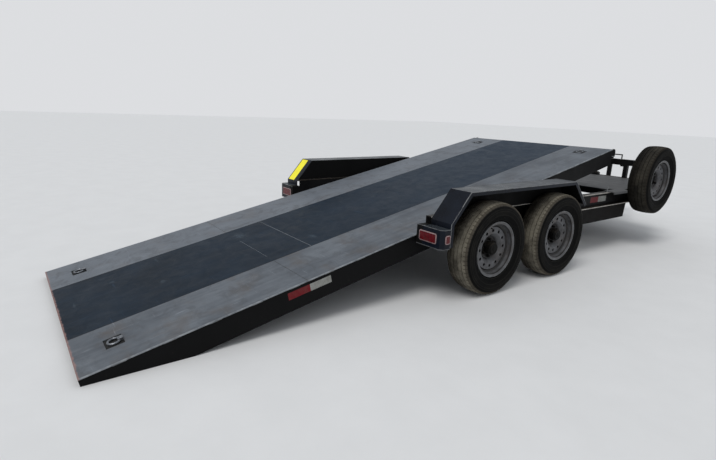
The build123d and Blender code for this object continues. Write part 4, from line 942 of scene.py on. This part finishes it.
def make_tongue_trim():
    """The jack's ribbed crank grip, cap and pin, the coupler's latch lever, and plugs in the stop rail."""
    grip = Shape()
    profile = [(0.0140, 0.0)]
    for z in [0.004 + 0.0088 * k for k in range(12)]:
        profile += [(0.0152, z), (0.0162, z + 0.0018), (0.0162, z + 0.0052), (0.0152, z + 0.0070)]
    profile += [(0.0150, 0.1120), (0.0120, 0.1145)]
    grip.add(*turned(profile, 24), ON_FRAME @ facing((1, 0, 0), (0.150, JACK_Y, 0.775)))
    grip.piece("crank_grip", "soft_black", "frame")
    parts = Shape()
    cap = turned([(0.0425, 0), (0.0425, 0.0020), (0.0395, 0.0050), (0.0120, 0.0060), (0.0120, 0.0075)], 40)
    parts.add(*cap, ON_FRAME @ Matrix.Translation((0, JACK_Y, 0.960)))
    band = turned([(0.0420, 0), (0.0445, 0.0015), (0.0445, 0.0065), (0.0420, 0.0080)], 40, cap=False)
    parts.add(*band, ON_FRAME @ Matrix.Translation((0, JACK_Y, 0.889)))
    for side in SIDES:
        parts.bolt(0.006, 0.006, (0, side, 0), (0, JACK_Y + side * 0.0415, 0.925))
    pin = turned([(0.0055, 0), (0.0055, 0.110), (0.0045, 0.112)], 16)
    parts.add(*pin, ON_FRAME @ facing((0, 1, 0), (0, 3.634, 0.600)))
    clip = [(0, 3.634, 0.600), (0, 3.622, 0.594), (0, 3.620, 0.580), (0, 3.632, 0.574), (0, 3.640, 0.586)]
    parts.add(*pipe(clip, 0.0022), ON_FRAME)
    across = turned([(0.0065, 0), (0.0065, 0.034), (0.0055, 0.036)], 18)
    parts.add(*across, ON_FRAME @ facing((1, 0, 0), (-0.018, 4.495, 0.486)))
    parts.bolt(0.012, 0.010, (0, 0, 1), (0, 4.5541, 0.467))
    parts.piece("tongue_fittings", "zinc_steel", "frame")
    lever = Shape()
    rows = []
    for y, z, w in ((4.510, 0.503, 0.008), (4.470, 0.506, 0.009), (4.430, 0.507, 0.010),
                    (4.400, 0.512, 0.011), (4.378, 0.522, 0.010)):
        rows.append([(-w, y, z), (-w, y, z + 0.004), (-w * 0.5, y, z + 0.0055), (w * 0.5, y, z + 0.0055),
                     (w, y, z + 0.004), (w, y, z)])
    lever.add(*tube(rows), ON_FRAME)
    lever.piece("coupler_lever", "zinc_steel", "frame")
    plugs = Shape()
    for side in SIDES:
        place = Matrix.Translation((side * 0.8012, sum(STOP_RAIL) / 2, 0.867))
        plugs.add(*block((0.004, 0.048, 0.074), 0.0016), ON_FRAME @ place)
    plugs.piece("stop_rail_plugs", "soft_black", "frame")


def make_rail_pegs():
    """A short round peg on each rail at the rear corner of the step."""
    pegs = Shape()
    peg = turned([(0.0075, 0), (0.0060, 0.003), (0.0060, 0.056), (0.0048, 0.061), (0.0020, 0.063)], 18)
    for side in SIDES:
        pegs.add(*peg, ON_FRAME @ Matrix.Translation((side * 0.996, 1.641, RAIL_TOP)))
    pegs.piece("rail_pegs", "rubbed_edge", "frame")


def make_joist_welds():
    """Stitch welds under the deck where its plates lie on the joists."""
    welds = Shape()
    first, last = JOIST_RUN
    for share in JOIST_SHARES:
        y, z = first + (last - first) * share - 0.0008, PLATE_BOTTOM - 0.001
        for x in (-0.7, -0.25, 0.25, 0.7):
            welds.weld((x - 0.035, y, z), (x + 0.035, y, z), 0.0034, ON_DECK, step=0.007, count=6, seed=x + y)
    welds.piece("joist_stitches", "weld_bead", "deck")


for make in (make_tyres, make_wheel_trim, make_tapes, make_fender_trim, make_lamp_trim, make_deck_welds,
             make_bolts, make_frame_welds, make_suspension_trim, make_cylinder_trim, make_tongue_trim,
             make_rail_pegs, make_joist_welds):
    make()


# Floor, light and camera
def make_floor():
    """A plain pale floor, just below the feet."""
    shape = Shape()
    steps = (-60.0, -30.0, 0.0, 30.0, 60.0)
    shape.add(*net([[(x, y, -0.0008) for x in steps] for y in steps]))
    mesh = shape.mesh("floor")
    floor = bpy.data.objects.new("floor", mesh)
    bpy.context.scene.collection.objects.link(floor)
    look = Look("floor_pale", rough=0.85)
    cloud = look.noise(look.coords(), 3.0, 4.0, 0.6)
    tone = look.mix(cloud.ramp(0.35, 0.65), colour(217, 218, 219), colour(220, 221, 222))
    mesh.materials.append(look.done(tone))


def make_light():
    """Even light from all around, a pale backdrop for the camera alone, and a soft sun."""
    world = bpy.data.worlds.new("studio")
    bpy.context.scene.world = world
    world.use_nodes = True
    tree = world.node_tree
    tree.nodes.clear()
    path = tree.nodes.new("ShaderNodeLightPath")
    mix = tree.nodes.new("ShaderNodeMixShader")
    out = tree.nodes.new("ShaderNodeOutputWorld")
    tree.links.new(path.outputs["Is Camera Ray"], mix.inputs[0])
    for socket, tint, strength in ((1, (0.93, 0.96, 1.0, 1.0), 0.62), (2, (0.72, 0.73, 0.75, 1.0), 1.0)):
        glow = tree.nodes.new("ShaderNodeBackground")
        glow.inputs["Color"].default_value = tint
        glow.inputs["Strength"].default_value = strength
        tree.links.new(glow.outputs[0], mix.inputs[socket])
    tree.links.new(mix.outputs[0], out.inputs["Surface"])
    sun = bpy.data.lights.new("key", "SUN")
    sun.energy = 1.35
    sun.angle = math.radians(28)
    sun.color = (1.0, 0.98, 0.95)
    lamp = bpy.data.objects.new("key", sun)
    bpy.context.scene.collection.objects.link(lamp)
    lamp.rotation_euler = (-Vector((0.30, -0.85, 1.35))).to_track_quat("-Z", "Y").to_euler()


def make_camera():
    """The photo's camera, as fitted to it: its place, its three turns and its focal length in pixels."""
    yaw, pitch, roll = (math.radians(a) for a in (-53.0013, -14.0153, 2.2144))
    ahead = Vector((math.sin(yaw) * math.cos(pitch), math.cos(yaw) * math.cos(pitch), math.sin(pitch)))
    right = ahead.cross(Vector((0, 0, 1))).normalized()
    up = right.cross(ahead)
    right, up = (right * math.cos(roll) + up * math.sin(roll), up * math.cos(roll) - right * math.sin(roll))
    data = bpy.data.cameras.new("camera")
    data.sensor_width = 36
    data.lens = 477.1933 / 716 * data.sensor_width
    data.clip_start = 0.05
    data.clip_end = 300
    camera = bpy.data.objects.new("camera", data)
    bpy.context.scene.collection.objects.link(camera)
    turn = Matrix((right, up, -ahead)).transposed().to_4x4()
    camera.matrix_world = Matrix.Translation((3.4482, -4.1380, 1.3968)) @ turn
    bpy.context.scene.camera = camera


make_floor()
make_light()
make_camera()
bpy.context.scene.view_settings.view_transform = "Standard"
